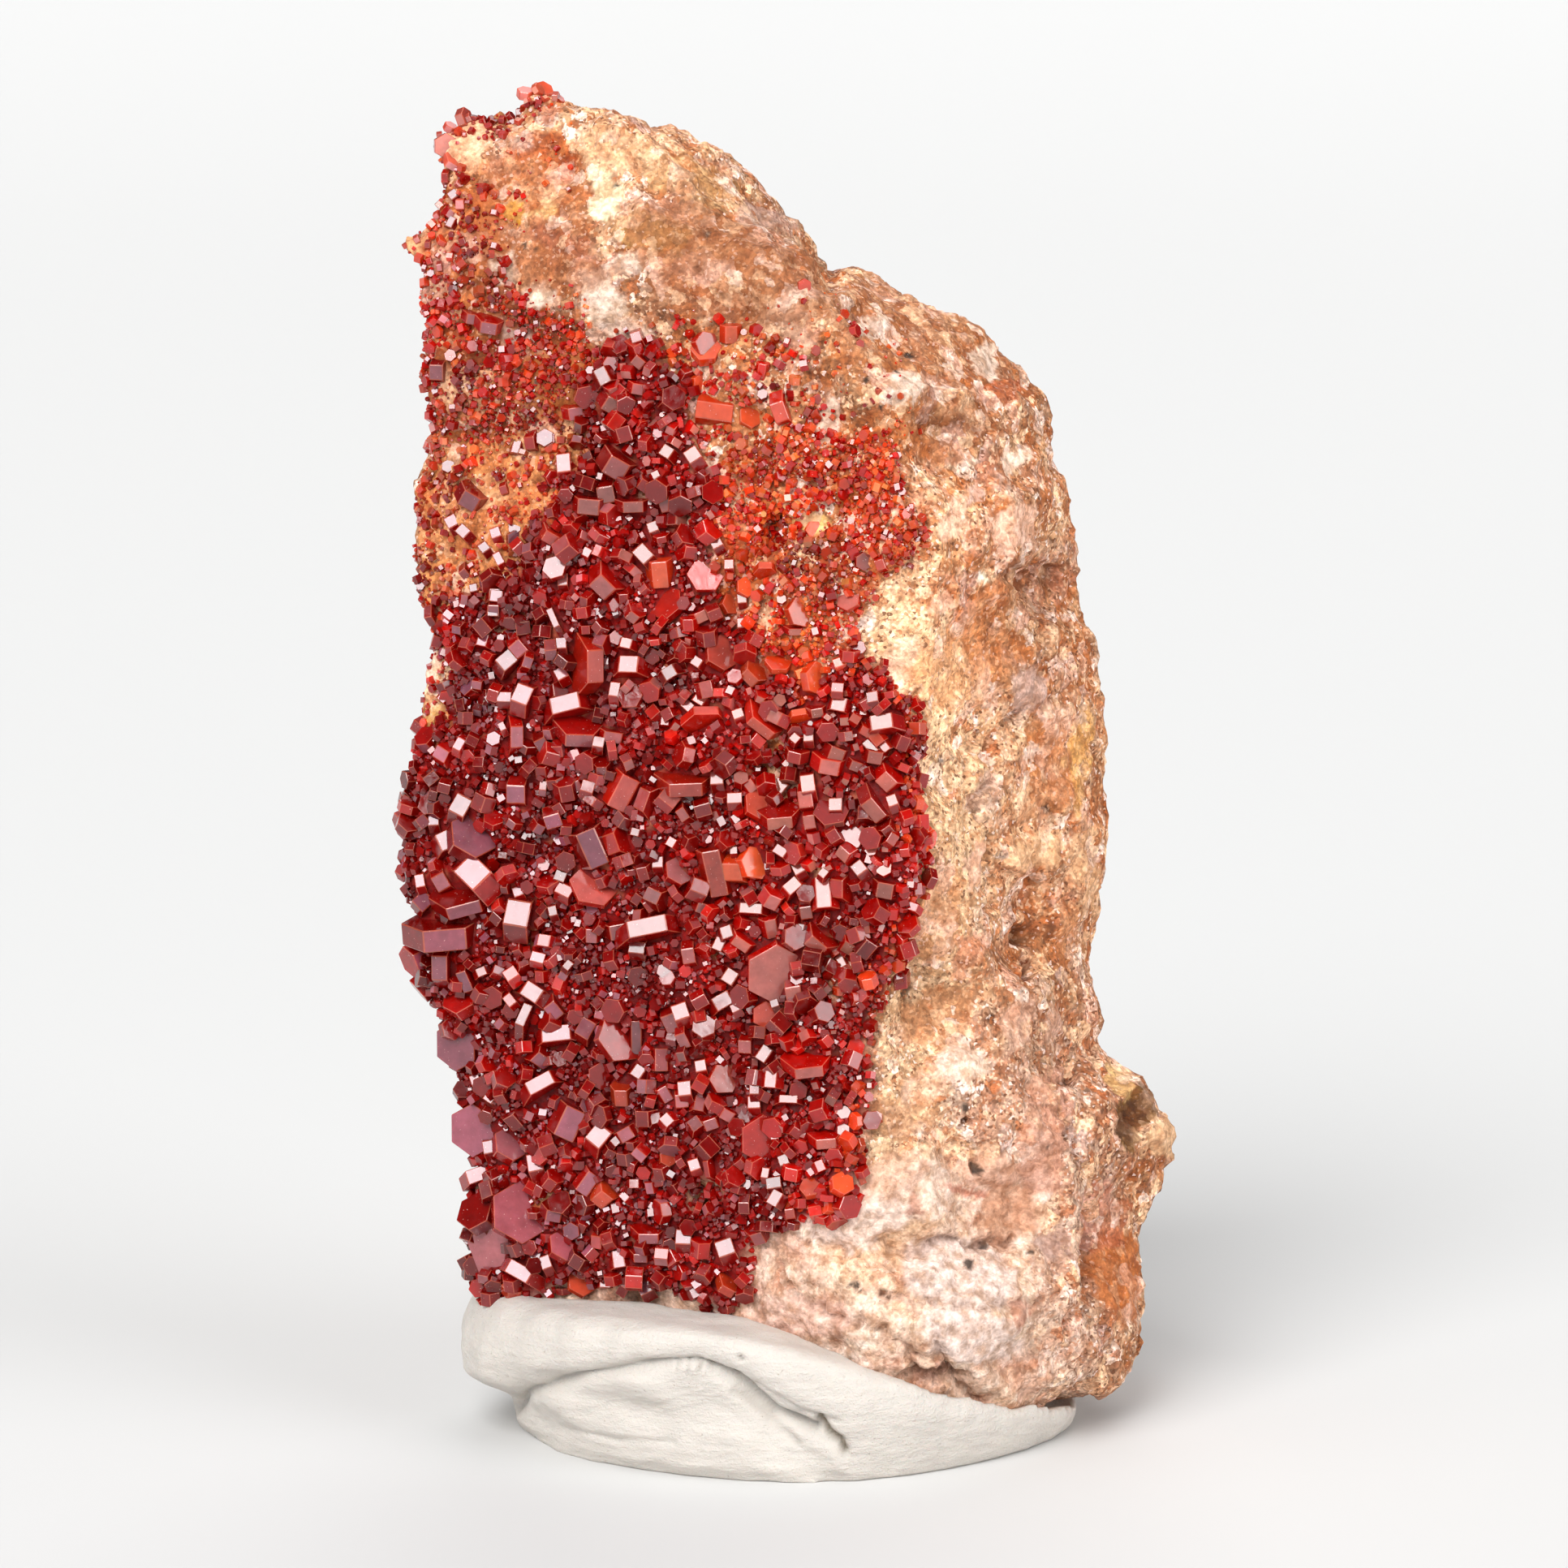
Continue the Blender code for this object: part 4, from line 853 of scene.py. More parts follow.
def rock_colours(points, normals, x, y, zones, crumbs, wander):
    """The rock's colour at each point, in linear light, and how bare the rock is there."""
    seen = facing(normals)
    coarse, middle = noises(points, 6.0, 21.0, 3), noises(points, 2.2, 31.0, 3)
    small, tiny = noises(points, 0.9, 41.0, 2), noises(points, 0.45, 51.0, 2)

    colours = np.tile(linear(TAN), (len(points), 1))

    def mix(colour, share):
        share = np.clip(share, 0, 1)[:, None]
        colours[:] = colours * (1 - share) + linear(colour) * share

    # The mottled ground with its blocks; painted shade in the dips between them, painted light on the rises.
    mix(ORANGE_BROWN, 0.6 * steps(coarse, -0.1, 0.5))
    mix(CREAM, 0.6 * steps(middle + 0.3 * small, 0.0, 0.6))
    mix(PALE_PINK, 0.5 * steps(noises(points, 3.1, 61.0, 2), 0.1, 0.5))
    mix(BROWN, 0.5 * steps(noises(points, 2.6, 71.0, 3) - 0.3 * small, 0.15, 0.6))
    for rank, edge in crumbs[1:]:
        chosen = (rank * 9973 % 1 * len(BLOCK_COLOURS)).astype(int)
        for number, (colour, strength) in enumerate(BLOCK_COLOURS):
            mix(colour, 0.6 * strength * (chosen == number) * steps(edge, 0.0, 0.1))
        mix(BROWN, 0.25 * (1 - steps(edge, 0.0, 0.1)))
    relief_shade = sum((0.5 - rank) * tall for (rank, _), tall in zip(crumbs, (0.5, 0.9, 0.9))) - 0.5 * small
    # Painted shade makes the low blocks browner; painted light makes the raised ones paler.
    mix(ORANGE_BROWN, 0.6 * steps(relief_shade, 0.05, 0.6))
    mix(CREAM, 0.45 * steps(-relief_shade, 0.1, 0.6))
    # The pale and chalky lower part, and the cream rim round the crust.
    lower = seen * steps(y, 1180, 1420) * between(x, 880, 1080, 1320, 1400)
    mix(PALE_PINK, lower * (0.65 + 0.35 * middle))
    mix(WHITE, lower * 0.75 * steps(middle, -0.2, 0.4))
    chalky = np.maximum(steps(y, 1380, 1490) * steps(x, 860, 930), steps(y, 1560, 1585) * steps(x, 620, 660))
    chalky *= seen * (1 - steps(x, 1250, 1340))
    mix(CHALK, 0.9 * chalky)
    mix(CHALK_PINK, 0.6 * chalky * steps(-middle, 0.0, 0.5))
    mix(CHALK_BROWN, 0.5 * chalky * steps(-small - 0.5 * middle, 0.2, 0.7))
    mix(CHALK_WHITE, 0.8 * chalky * steps(small + 0.6 * middle, 0.2, 0.7))
    outside = -depth_inside(x + 20 * middle, y, DEEP_ZONE)
    mix(RIM_CREAM, 0.9 * seen * between(outside, 0, 20, 60, 130) * steps(x, 1000, 1060) * steps(y, 560, 700))
    # The stained beds of the crystals, and under the deep crust a red with a painted glow.
    mix(LEFT_TAN, 0.85 * zones[LEFT_ZONE])
    mix(STAIN, 0.5 * zones[LEFT_ZONE] * steps(small + middle, 0.0, 0.9))
    mix(BROWN, 0.4 * zones[LEFT_ZONE] * steps(tiny - middle, 0.1, 0.8))
    mix(CLUSTER_TAN, 0.7 * zones[CLUSTERED_ZONE])
    stained = np.maximum(zones[SPECKLED_ZONE], zones[BAND_ZONE])
    mix(STAINED_TAN, 0.8 * stained)
    mix(RUST, 0.85 * stained * steps(small + middle, -0.2, 0.5))
    mix(DEEP_RUST, 0.75 * zones[SPECKLED_ZONE])
    mix(ORANGE_TAN, 0.75 * zones[ORANGE_ZONE])
    mix(SCARLET, 0.85 * zones[ORANGE_ZONE] * steps(middle, -0.5, 0.2))
    # Under the deep crust: the crystals' red, made brighter as a painted glow of light through them.
    mix(BED_RED_GLOW, zones[DEEP_ZONE] * (1 - 0.35 * steps(small, 0.3, 0.8)))

    # Patches and specks, then painted shade in the cracks and in the deeper hollows.
    rough_x, rough_y = x + 13.5 * middle + 7 * small, y + 13.5 * coarse + 7 * tiny
    bare, patched = 1 - 0.8 * zones[DEEP_ZONE], np.zeros(len(points))
    for px, py, wide, high, turn, colour, strength in PATCHES:
        inside = blob(rough_x, rough_y, px, py, wide * 1.1, high * 1.1, turn)
        share = seen * bare * strength * steps(inside, -0.03, 0.14)
        mix(colour, share)
        patched = np.maximum(patched, share)
    for px, py, size in SPECKS:
        mix(DARK, seen * 0.9 * steps(blob(x + 4 * small, y + 4 * tiny, px, py, size, size), -0.1, 0.2))
    for wide, depth, line in CRACKS:
        mix(CRACK_SHADE, seen * depth * fading(line_distance(x + wander, y - wander, line), 0.8 * wide))
    for px, py, wide, high, depth in HOLLOWS:
        if depth > 0.5:
            mix(HOLLOW_SHADE, seen * 0.75 * steps(blob(rough_x, rough_y, px, py, wide, high), 0.0, 0.5))
    # Tone that varies with the grain, then painted light and shade.
    colours *= (1 + 0.16 * tiny + 0.12 * small)[:, None]
    # Painted light brightens the strip; painted shade darkens the top towards the right and the lower part.
    strip_light = seen * between(x, 1060, 1110, 1180, 1260) * between(y, 560, 640, 860, 960)
    shaded = 1 - 0.22 * (1 - steps(y, 480, 600)) * steps(y + 0.5 * x, 560, 680) - 0.18 * steps(y, 1120, 1240)
    brightness = (0.80 + 0.27 * strip_light) * shaded * (1 + 0.2 * patched)
    colours *= brightness[:, None] * np.array((1.0, 0.96, 0.89))
    covered = zones[LEFT_ZONE] + zones[SPECKLED_ZONE] + zones[BAND_ZONE] + 0.6 * zones[ORANGE_ZONE]
    # The chalky part is painted lighter, most on its left: its own whiter colour, and painted light against
    # its shade.
    lightened = chalky * (1 - 0.85 * patched) * (1.5 - 0.7 * steps(x, 1020, 1120))
    colours *= 1 + np.outer(lightened, (0.20, 0.24, 0.32)) - np.outer(chalky * patched, (0.12, 0.10, 0.02))
    bareness = 1 - np.clip(zones[DEEP_ZONE] * 1.2 + 0.4 * covered + 0.75 * patched + 0.65 * chalky, 0, 1)
    return np.column_stack([np.clip(colours, 0.001, 1), bareness])


def dress_rock():
    """The rock with its crumbled surface, hollows, cracks and colours."""
    rock = remeshed("rock", "rock_surface", ROCK_GRID, ROCK_ROUNDS)
    points, normals = points_of(rock.data)
    zones = crust_share(points, normals, *photo_place(points))
    # The quads are finer where bare rock shows.
    refine(rock, (normals @ np.array(BACK) > 0.05) & (zones[DEEP_ZONE] < 0.5))
    move_points(rock.data, nudged(points_of(rock.data)[0], ROCK_MOVES))
    points, normals = points_of(rock.data)
    x, y = photo_place(points)
    zones = crust_share(points, normals, x, y)
    crumbs = [blocks(points, size, seed) for size, seed, _ in CRUMBS]
    wander = 9 * noises(points, 0.9, 12.0, 2)
    height = rock_relief(points, normals, x, y, zones, crumbs, wander)
    colours = rock_colours(points, normals, x, y, zones, crumbs, wander)
    moved = points + normals * height[:, None] * MM
    # The underside sinks a little into the putty.
    under = steps(-normals[:, 2], 0.1, 0.7) * (1 - steps(moved[:, 2], 10 * MM, 13 * MM))
    moved[:, 2] -= 1.0 * MM * under * (1 - steps(moved[:, 0], 0, 8 * MM))
    moved[:, 2] = np.maximum(moved[:, 2], 0.3 * MM)
    return finished(rock, moved, colours, rock_material())


def hexagon(width):
    """The corners of a hexagon with one side facing +X, each width away from its middle."""
    angles = [math.radians(degrees) for degrees in range(-30, 330, 60)]
    return [width * np.array((math.cos(angle), math.sin(angle))) for angle in angles]


def chamfered_prism(width, thickness, chamfer):
    """A plain_prism with its edges cut, and rim flags that are true for the cuts."""
    high = thickness / 2
    corners = hexagon(width)
    points, faces, rims = [], [], []
    for end in (high, -high):
        points += [(*(c * (width - chamfer) / width), end) for c in corners]
    for end in (high - chamfer, chamfer - high):
        for i, start in enumerate(corners):
            along = (corners[(i + 1) % 6] - start) / width
            points += [(*(start + along * chamfer), end), (*(start + along * (width - chamfer)), end)]
    top, foot = list(range(6)), list(range(6, 12))
    upper, lower = list(range(12, 24)), list(range(24, 36))
    faces += [tuple(top), tuple(reversed(foot))]
    rims += [False, False]
    for i in range(6):
        a, b, c = 2 * i, 2 * i + 1, (2 * i + 2) % 12
        j = (i + 1) % 6
        faces.append((lower[a], lower[b], upper[b], upper[a]))
        rims.append(False)
        faces += [
            (lower[b], lower[c], upper[c], upper[b]),
            (upper[a], upper[b], top[j], top[i]),
            (lower[b], lower[a], foot[i], foot[j]),
            (upper[b], upper[c], top[j]),
            (lower[c], lower[b], foot[j]),
        ]
        rims += [True] * 5
    return np.array(points), faces, rims


def plain_prism(width, thickness):
    """A hexagonal prism, its axis along +Z and one side facing +X: points, faces, rim flags."""
    points = [(*c, end) for end in (thickness / 2, -thickness / 2) for c in hexagon(width)]
    faces = [tuple(range(6)), tuple(range(11, 5, -1))]
    faces += [(6 + i, 6 + (i + 1) % 6, (i + 1) % 6, i) for i in range(6)]
    return np.array(points), faces, [False] * 8


class Druse:
    """Crystals gathered into one mesh."""

    def __init__(self):
        self.points, self.faces, self.colours, self.count = [], [], [], 0

    def add(self, shape, middle, axis, side, colours, shown):
        """Adds a crystal with the first colour on the face shown, 0 for the hexagon and 2 for a side."""
        points, faces, rims = shape
        turned = np.array((side, axis.cross(side), axis))
        self.points.append(points @ turned + np.array(middle))
        # The face shown gets the first colour, a paler painted reflection of the soft light.
        painted_reflection, clear = linear(colours[0]), linear(colours[1])
        # The cut edges get a painted highlight mixed into the clear colour.
        rim = linear(RIM_HIGHLIGHT) * 0.35 + clear * 0.65
        for number, (face, is_rim) in enumerate(zip(faces, rims)):
            self.faces.append(tuple(self.count + i for i in face))
            self.colours += [rim if is_rim else painted_reflection if number == shown else clear] * len(face)
        self.count += len(points)

    def build(self, name, finish):
        """The crystals as an object with this material."""
        mesh = bpy.data.meshes.new(name)
        mesh.from_pydata(np.concatenate(self.points), [], self.faces)
        paint(mesh, np.array(self.colours), "CORNER")
        mesh.materials.append(finish)
        return linked(name, mesh)


def across(direction, wanted):
    """The direction nearest to the one wanted that is square to the first."""
    return (wanted - direction * wanted.dot(direction)).normalized()


def varied(colours, chance, tone=1.0):
    """The colours times a tone, a little lighter or darker."""
    lighter = tone * chance.uniform(0.84, 1.16)
    return [[min(255, c * lighter * chance.uniform(0.95, 1.05)) for c in colour] for colour in colours]


def deepened(kind, x, y):
    """A kind's colours at a pixel, painted light: a wine red haze on the crust's left, a scarlet glow on its
    right.
    """
    scarlet = float(steps(x + 0.25 * (1000 - y), 640, 1000))
    change = (0.94 + 0.11 * scarlet, 0.96 + 0.10 * scarlet, 1.08 - 0.16 * scarlet)
    return [[c * by for c, by in zip(colour, change)] for colour in CRYSTAL_COLOURS[kind]]


def jittered(direction, spread, chance):
    """The direction turned at random by up to spread, as a share of a radian."""
    return (direction + Vector([chance.uniform(-1, 1) for _ in range(3)]) * spread).normalized()


def druse_at(x, y):
    """The druse that a larger crystal belongs to, by its pixel."""
    if y > 345 or x > 700:
        return "crust"
    return "crown" if x > 600 and y < 165 else "band"


def surface_behind(x, y, rock_surface):
    """The place on the rock behind a pixel, or behind the nearest one towards the middle that has rock."""
    inwards = 0.0
    while True:
        hit, *_ = rock_surface.ray_cast(EYE, sight(x + (MIDDLE - x) * inwards, y + (MIDDLE - y) * inwards))
        if hit is not None:
            return hit
        inwards += 0.004


def large_crystals(rock_surface):
    """The crystals read one by one, each on the surface behind its pixel: their druses and their places."""
    chance = random.Random(LARGE_SEED)
    druses, places = {"crust": Druse(), "band": Druse(), "crown": Druse()}, []
    for row in LARGE_CRYSTALS.strip().split("\n"):
        *values, kind = row.split()
        px, py, width, thickness, turn, tilt = (float(v) for v in values)
        hit, ray = surface_behind(px, py, rock_surface), sight(px, py)
        spot = EYE + ray * ((hit.y - EYE.y) / ray.y)
        scale = PIXEL * (spot - EYE).length / DISTANCE
        width, thickness = width * scale, thickness * scale
        beyond = spot - hit
        if beyond.length > 0.5 * width:
            spot = hit + beyond.normalized() * 0.5 * width
        turn, tilt = math.radians(turn), math.radians(tilt)
        flat = Vector((math.cos(turn), 0, math.sin(turn)))
        leaning = (flat * math.sin(tilt) + FRONT * math.cos(tilt)).normalized()
        shows_hexagon = tilt < math.pi / 4
        showing = jittered(FLASH, 0.05, chance) if kind == "w" else None
        if shows_hexagon:
            axis = showing or leaning
            side = across(axis, flat)
            showing, half_depth = axis, thickness / 2
        else:
            side = showing or jittered(across(leaning, FRONT), 0.12, chance)
            axis = across(side, flat)
            showing, half_depth = side, width * math.cos(math.radians(30))
        # The crystal is sunk in the surface, and none stands clear of it.
        middle = spot - ray * (0.75 * half_depth) - showing * half_depth
        nearest, outwards, *_ = rock_surface.find_nearest(middle)
        away, limit = middle - nearest, 0.4 * min(width, thickness / 2)
        if away.dot(outwards) > 0 and away.length > limit:
            middle = nearest + away.normalized() * limit
        shape = chamfered_prism(width, thickness, 0.035 * min(width, thickness) + 0.016 * MM)
        colours = varied(deepened(kind, px, py), chance)
        druses[druse_at(px, py)].add(shape, middle, axis, side, colours, 0 if shows_hexagon else 2)
        places.append((middle, axis, width, thickness))
    return druses, places


def surface_samples(obj, count, chance):
    """Random places spread evenly over a mesh: points and directions."""
    mesh = obj.data
    mesh.calc_loop_triangles()
    corners = np.empty(len(mesh.loop_triangles) * 3, int)
    mesh.loop_triangles.foreach_get("vertices", corners)
    points, _ = points_of(mesh)
    a, b, c = points[corners.reshape(-1, 3)].transpose(1, 0, 2)
    normal = np.cross(b - a, c - a)
    area = np.linalg.norm(normal, axis=1)
    pick = chance.choice(len(area), count, p=area / area.sum())
    u, v = chance.random(count), chance.random(count)
    over = u + v > 1
    u[over], v[over] = 1 - u[over], 1 - v[over]
    places = a[pick] + (b[pick] - a[pick]) * u[:, None] + (c[pick] - a[pick]) * v[:, None]
    return places, normal[pick] / area[pick][:, None]


class Crowd:
    """The small crystals so far, sorted into cubes so that near ones are found quickly."""

    def __init__(self):
        self.cubes = {}

    def cube_of(self, place):
        return tuple(int(v // CUBE) for v in place)

    def add(self, place, width):
        self.cubes.setdefault(self.cube_of(place), []).append((place, width))

    def touches(self, place, width):
        """Whether a crystal of this width would stand too near another."""
        for cube in itertools.product(*(range(v - 1, v + 2) for v in self.cube_of(place))):
            for other, reach in self.cubes.get(cube, ()):
                if (other - place).length < NEARNESS * (width + reach):
                    return True
        return False


def clear_of(taken, places, normals):
    """Which places lie outside the larger crystals."""
    clear = np.ones(len(places), bool)
    for middle, axis, width, thickness in taken:
        from_middle = places + normals * 0.25 * MM - np.array(middle)
        along = from_middle @ np.array(axis)
        beside = np.linalg.norm(from_middle - along[:, None] * np.array(axis), axis=1)
        clear &= ~((np.abs(along) < thickness / 2 + 0.3 * MM) & (beside < 0.95 * width + 0.1 * MM))
    return clear


def posed(normal, flashes, chance):
    """A small crystal's axis, one side's direction and the face that shows: 0 a hexagon, 2 that side."""
    turn = chance.uniform(0, 2 * math.pi)
    flat = Vector((math.cos(turn), 0, math.sin(turn)))
    if flashes:
        side = jittered(FLASH, 0.05, chance)
        axis = across(side, flat)
    else:
        axis = jittered(across(normal, flat), 0.5, chance)
        if chance.random() < 0.2:
            axis = jittered(normal, 0.6, chance)
        side = across(axis, jittered(normal, 0.7, chance))
    shown = 0 if chance.random() < 0.15 else 2
    return (side, axis, shown) if flashes and shown == 0 else (axis, side, shown)


def small_crystals(rock, taken, druses):
    """Seeded crystals over every zone, clear of the larger ones, added to the druses."""
    numbers, chance = np.random.default_rng(SMALL_SEED), random.Random(SMALL_SEED)
    places, normals = surface_samples(rock, PLACES_TRIED, numbers)
    # None grow at the back or on faces turned to it.
    in_front = (places[:, 1] < FARTHEST_BACK) & (normals[:, 1] < 0.35)
    places, normals = places[in_front], normals[in_front]
    x, y = photo_place(places)
    zones = crust_share(places, normals, x, y, soft=30.0)
    sizes = numbers.random(len(places))
    tones = 1 + 0.3 * noises(places, 3.2, 88.0, 2)
    fringe = (depth_inside(x, y, DEEP_ZONE) < FRINGE_WIDTH) & (x > FRINGE_LEFT)
    clustered = 0.2 + 0.8 * steps(noises(places, 1.2, 77.0, 2), -0.15, 0.25)
    for zone in zones:
        if zone not in (DEEP_ZONE, ORANGE_ZONE, SPECKLED_ZONE):
            zones[zone] = zones[zone] * clustered
    clear, crowd = clear_of(taken, places, normals), Crowd()
    druses["lower"], druses["upper"] = Druse(), Druse()
    for zone, _, most, least, greatest, flashing, mix in SMALL_CRYSTALS:
        deep, made = zone is DEEP_ZONE, 0
        for index in np.nonzero((zones[zone] > numbers.random(len(places))) & clear)[0]:
            if made == most:
                break
            # The power makes most of them small and a few large.
            width = (least + (greatest - least) * sizes[index] ** 2.2) * MM
            place, normal = Vector(places[index]), Vector(normals[index])
            if crowd.touches(place, width):
                continue
            crowd.add(place, width)
            made += 1
            flashes = chance.random() < flashing
            kind = "w" if flashes else chance.choice(FRINGE_MIX if deep and fringe[index] else mix)
            thickness = width * chance.uniform(0.7, 1.5)
            axis, side, shown = posed(normal, flashes, chance)
            middle = place + normal * (width * chance.uniform(0.1, 0.7 if deep else 0.5))
            if width > CUT_FROM:
                shape = chamfered_prism(width, thickness, 0.05 * width)
            else:
                shape = plain_prism(width, thickness)
            colours = varied(deepened(kind, x[index], y[index]), chance, tones[index])
            group = GROUPS.get(zone, "lower" if deep and place.z < LOWER_TOP else "upper")
            druses[group].add(shape, middle, axis, side, colours, shown)


def putty_relief(points, x, y, seen):
    """How far each point of the putty moves outwards, in millimetres."""
    away, inside = line_distance(x, y, FOLD), depth_inside(x, y, LOBE)
    height = 0.10 * noises(points, 5.0, 3.0, 3) + 0.05 * noises(points, 1.6, 8.0, 2)
    height += seen * 0.4 * between(inside, -2, 12, 14, 90)
    sharp = 0.25 + 0.3 * steps(x, 840, 900)
    height -= seen * (sharp * fading(away, 5) + 0.35 * fading(away, 16))
    for wide, depth, line in PUTTY_MARKS:
        height -= seen * depth * fading(line_distance(x, y, line), wide)
    for px, py, wide, high, turn, size, tall in PUTTY_STREAKS:
        cos, sin = math.cos(math.radians(turn)), math.sin(math.radians(turn))
        along, beside = (x - px) * cos - (y - py) * sin, (x - px) * sin + (y - py) * cos
        lines = noises(np.column_stack([along * 0.12, beside, 0 * x]) * PIXEL, size, 5.0, 2)
        height += seen * tall * lines * steps(blob(x, y, px, py, wide, high, turn), 0.0, 0.5)
    pulled = points * np.array((0.25, 0.25, 1.0))
    height += 0.035 * noises(pulled + 0.08 * points[:, [2, 0, 1]], 0.5, 4.0, 2)
    return height * steps(points[:, 2], 0.02 * MM, 0.5 * MM)


def putty_colours(points, x, y, seen):
    """The putty's colour at each point, in linear light, darker in the fold and in the marks as painted
    shade.
    """
    mottled = 0.03 * noises(points, 3.0, 6.0, 2) - 0.05 * steps(noises(points, 1.2, 16.0, 2), 0.4, 0.9)
    tone = linear(PUTTY_WHITE) * (1 + mottled)[:, None]
    # Painted shade along the fold.
    tone *= (1 - 0.35 * seen * fading(line_distance(x, y, FOLD), 3))[:, None]
    for wide, depth, line in PUTTY_MARKS:
        # Painted shade in the marks, as deep as they are.
        mark_shade = np.clip(2.8 * (depth - 0.2), 0, 0.8) * fading(line_distance(x, y, line), 0.8 * wide)
        tone *= 1 - np.outer(seen * mark_shade, (0.86, 0.92, 1.0))
    return tone


def dress_putty():
    """The putty with its fold, its pulled streaks and the marks in it."""
    lump = remeshed("putty", "putty_surface", PUTTY_GRID, PUTTY_ROUNDS)
    refine(lump, points_of(lump.data)[1] @ np.array(BACK) > 0.05)
    move_points(lump.data, nudged(points_of(lump.data)[0], PUTTY_MOVES))
    points, normals = points_of(lump.data)
    x, y = photo_place(points)
    seen = facing(normals) * steps(points[:, 2], 0.2 * MM, 1.0 * MM)
    moved = points + normals * putty_relief(points, x, y, seen)[:, None] * MM
    moved[:, 2] = np.maximum(moved[:, 2], 0)
    return finished(lump, moved, putty_colours(points, x, y, seen), putty_material())


class Shader:
    """A material's nodes, made and joined with short calls. Sizes and heights are in millimetres."""

    def __init__(self, name, **uniform):
        self.material = bpy.data.materials.new(name)
        self.material.use_nodes = True
        self.tree = self.material.node_tree
        self.surface = self.tree.nodes["Principled BSDF"]
        for socket, value in uniform.items():
            self.feed(self.surface.inputs[socket.replace("_", " ")], value)
        self.place = self.node("ShaderNodeTexCoord", {}).outputs["Object"]
        tint = self.node("ShaderNodeVertexColor", {}, layer_name="tint")
        self.tint, self.bareness = tint.outputs["Color"], tint.outputs["Alpha"]

    def feed(self, socket, value):
        """Joins an output to the socket, or sets the socket to a value."""
        if isinstance(value, bpy.types.NodeSocket):
            self.tree.links.new(value, socket)
        else:
            socket.default_value = value

    def node(self, kind, inputs, **settings):
        """A new node with its settings, and its inputs fed by name or number."""
        made = self.tree.nodes.new(kind)
        for key, value in settings.items():
            setattr(made, key, value)
        for key, value in inputs.items():
            self.feed(made.inputs[key], value)
        return made

    def noise(self, size, detail=2.0, roughness=0.5, stretch=None):
        """Noise from 0 to 1 whose lumps are about this size."""
        place = self.place
        if stretch:
            place = self.node("ShaderNodeMapping", {"Scale": stretch, "Vector": place}).outputs["Vector"]
        inputs = {"Scale": 1 / (size * MM), "Detail": detail, "Roughness": roughness, "Vector": place}
        return self.node("ShaderNodeTexNoise", inputs).outputs["Fac"]

    def shaken(self, size, amount):
        """The place moved about by noise, so that cells get ragged edges."""
        inputs = {"Scale": 1 / (size * MM), "Detail": 3.0, "Vector": self.place}
        shift = self.node("ShaderNodeTexNoise", inputs).outputs["Color"]
        inputs = {0: shift, 1: (amount * MM,) * 3, 2: self.place}
        return self.node("ShaderNodeVectorMath", inputs, operation="MULTIPLY_ADD").outputs["Vector"]

    def cells(self, size, place):
        """A random number from 0 to 1 for each cell about this size."""
        made = self.node("ShaderNodeTexVoronoi", {"Scale": 1 / (size * MM), "Vector": place})
        return self.node("ShaderNodeSeparateColor", {"Color": made.outputs["Color"]}).outputs["Red"]

    def gaps(self, size, place):
        """The distance from the edge between those cells, as a share of their size."""
        inputs = {"Scale": 1 / (size * MM), "Vector": place}
        return self.node("ShaderNodeTexVoronoi", inputs, feature="DISTANCE_TO_EDGE").outputs["Distance"]

    def table(self, value, rows):
        """The colour and strength of the last row that starts at or below the value."""
        made = self.node("ShaderNodeValToRGB", {"Fac": value})
        made.color_ramp.interpolation = "CONSTANT"
        elements = made.color_ramp.elements
        elements.remove(elements[1])
        for number, (start, colour, strength) in enumerate(rows):
            element = elements.new(start) if number else elements[0]
            element.color = (*linear(colour), strength)
        return made.outputs["Color"], made.outputs["Alpha"]

    def ranged(self, value, low, high, new_low, new_high):
        """The value with the range from low to high moved to a new one."""
        inputs = {"Value": value, "From Min": low, "From Max": high, "To Min": new_low, "To Max": new_high}
        return self.node("ShaderNodeMapRange", inputs).outputs["Result"]

    def mixed(self, share, first, second, blend="MIX"):
        """The first colour with a share of the second."""
        inputs = {0: share, 6: first, 7: second}
        return self.node("ShaderNodeMix", inputs, data_type="RGBA", blend_type=blend).outputs[2]

    def scaled(self, colour, brightness):
        """The colour times a number that varies over the surface."""
        inputs = {0: colour, "Scale": brightness}
        return self.node("ShaderNodeVectorMath", inputs, operation="SCALE").outputs["Vector"]

    def deepened(self, colour, power):
        """The colour raised to a power, which darkens and saturates it."""
        return self.node("ShaderNodeGamma", {"Color": colour, "Gamma": power}).outputs["Color"]

    def product(self, first, second):
        return self.node("ShaderNodeMath", {0: first, 1: second}, operation="MULTIPLY").outputs[0]

    def finish(self, colour, roughness, *bumps):
        """The material with its colour, its roughness and bumps given as (value, height) pairs."""
        inputs = {"Strength": 1.0}
        for value, height in bumps:
            inputs.update({"Height": value, "Distance": height * MM})
            inputs["Normal"] = self.node("ShaderNodeBump", inputs).outputs["Normal"]
        looks = {"Normal": inputs["Normal"], "Base Color": colour, "Roughness": roughness}
        for socket, value in looks.items():
            self.feed(self.surface.inputs[socket], value)
        return self.material


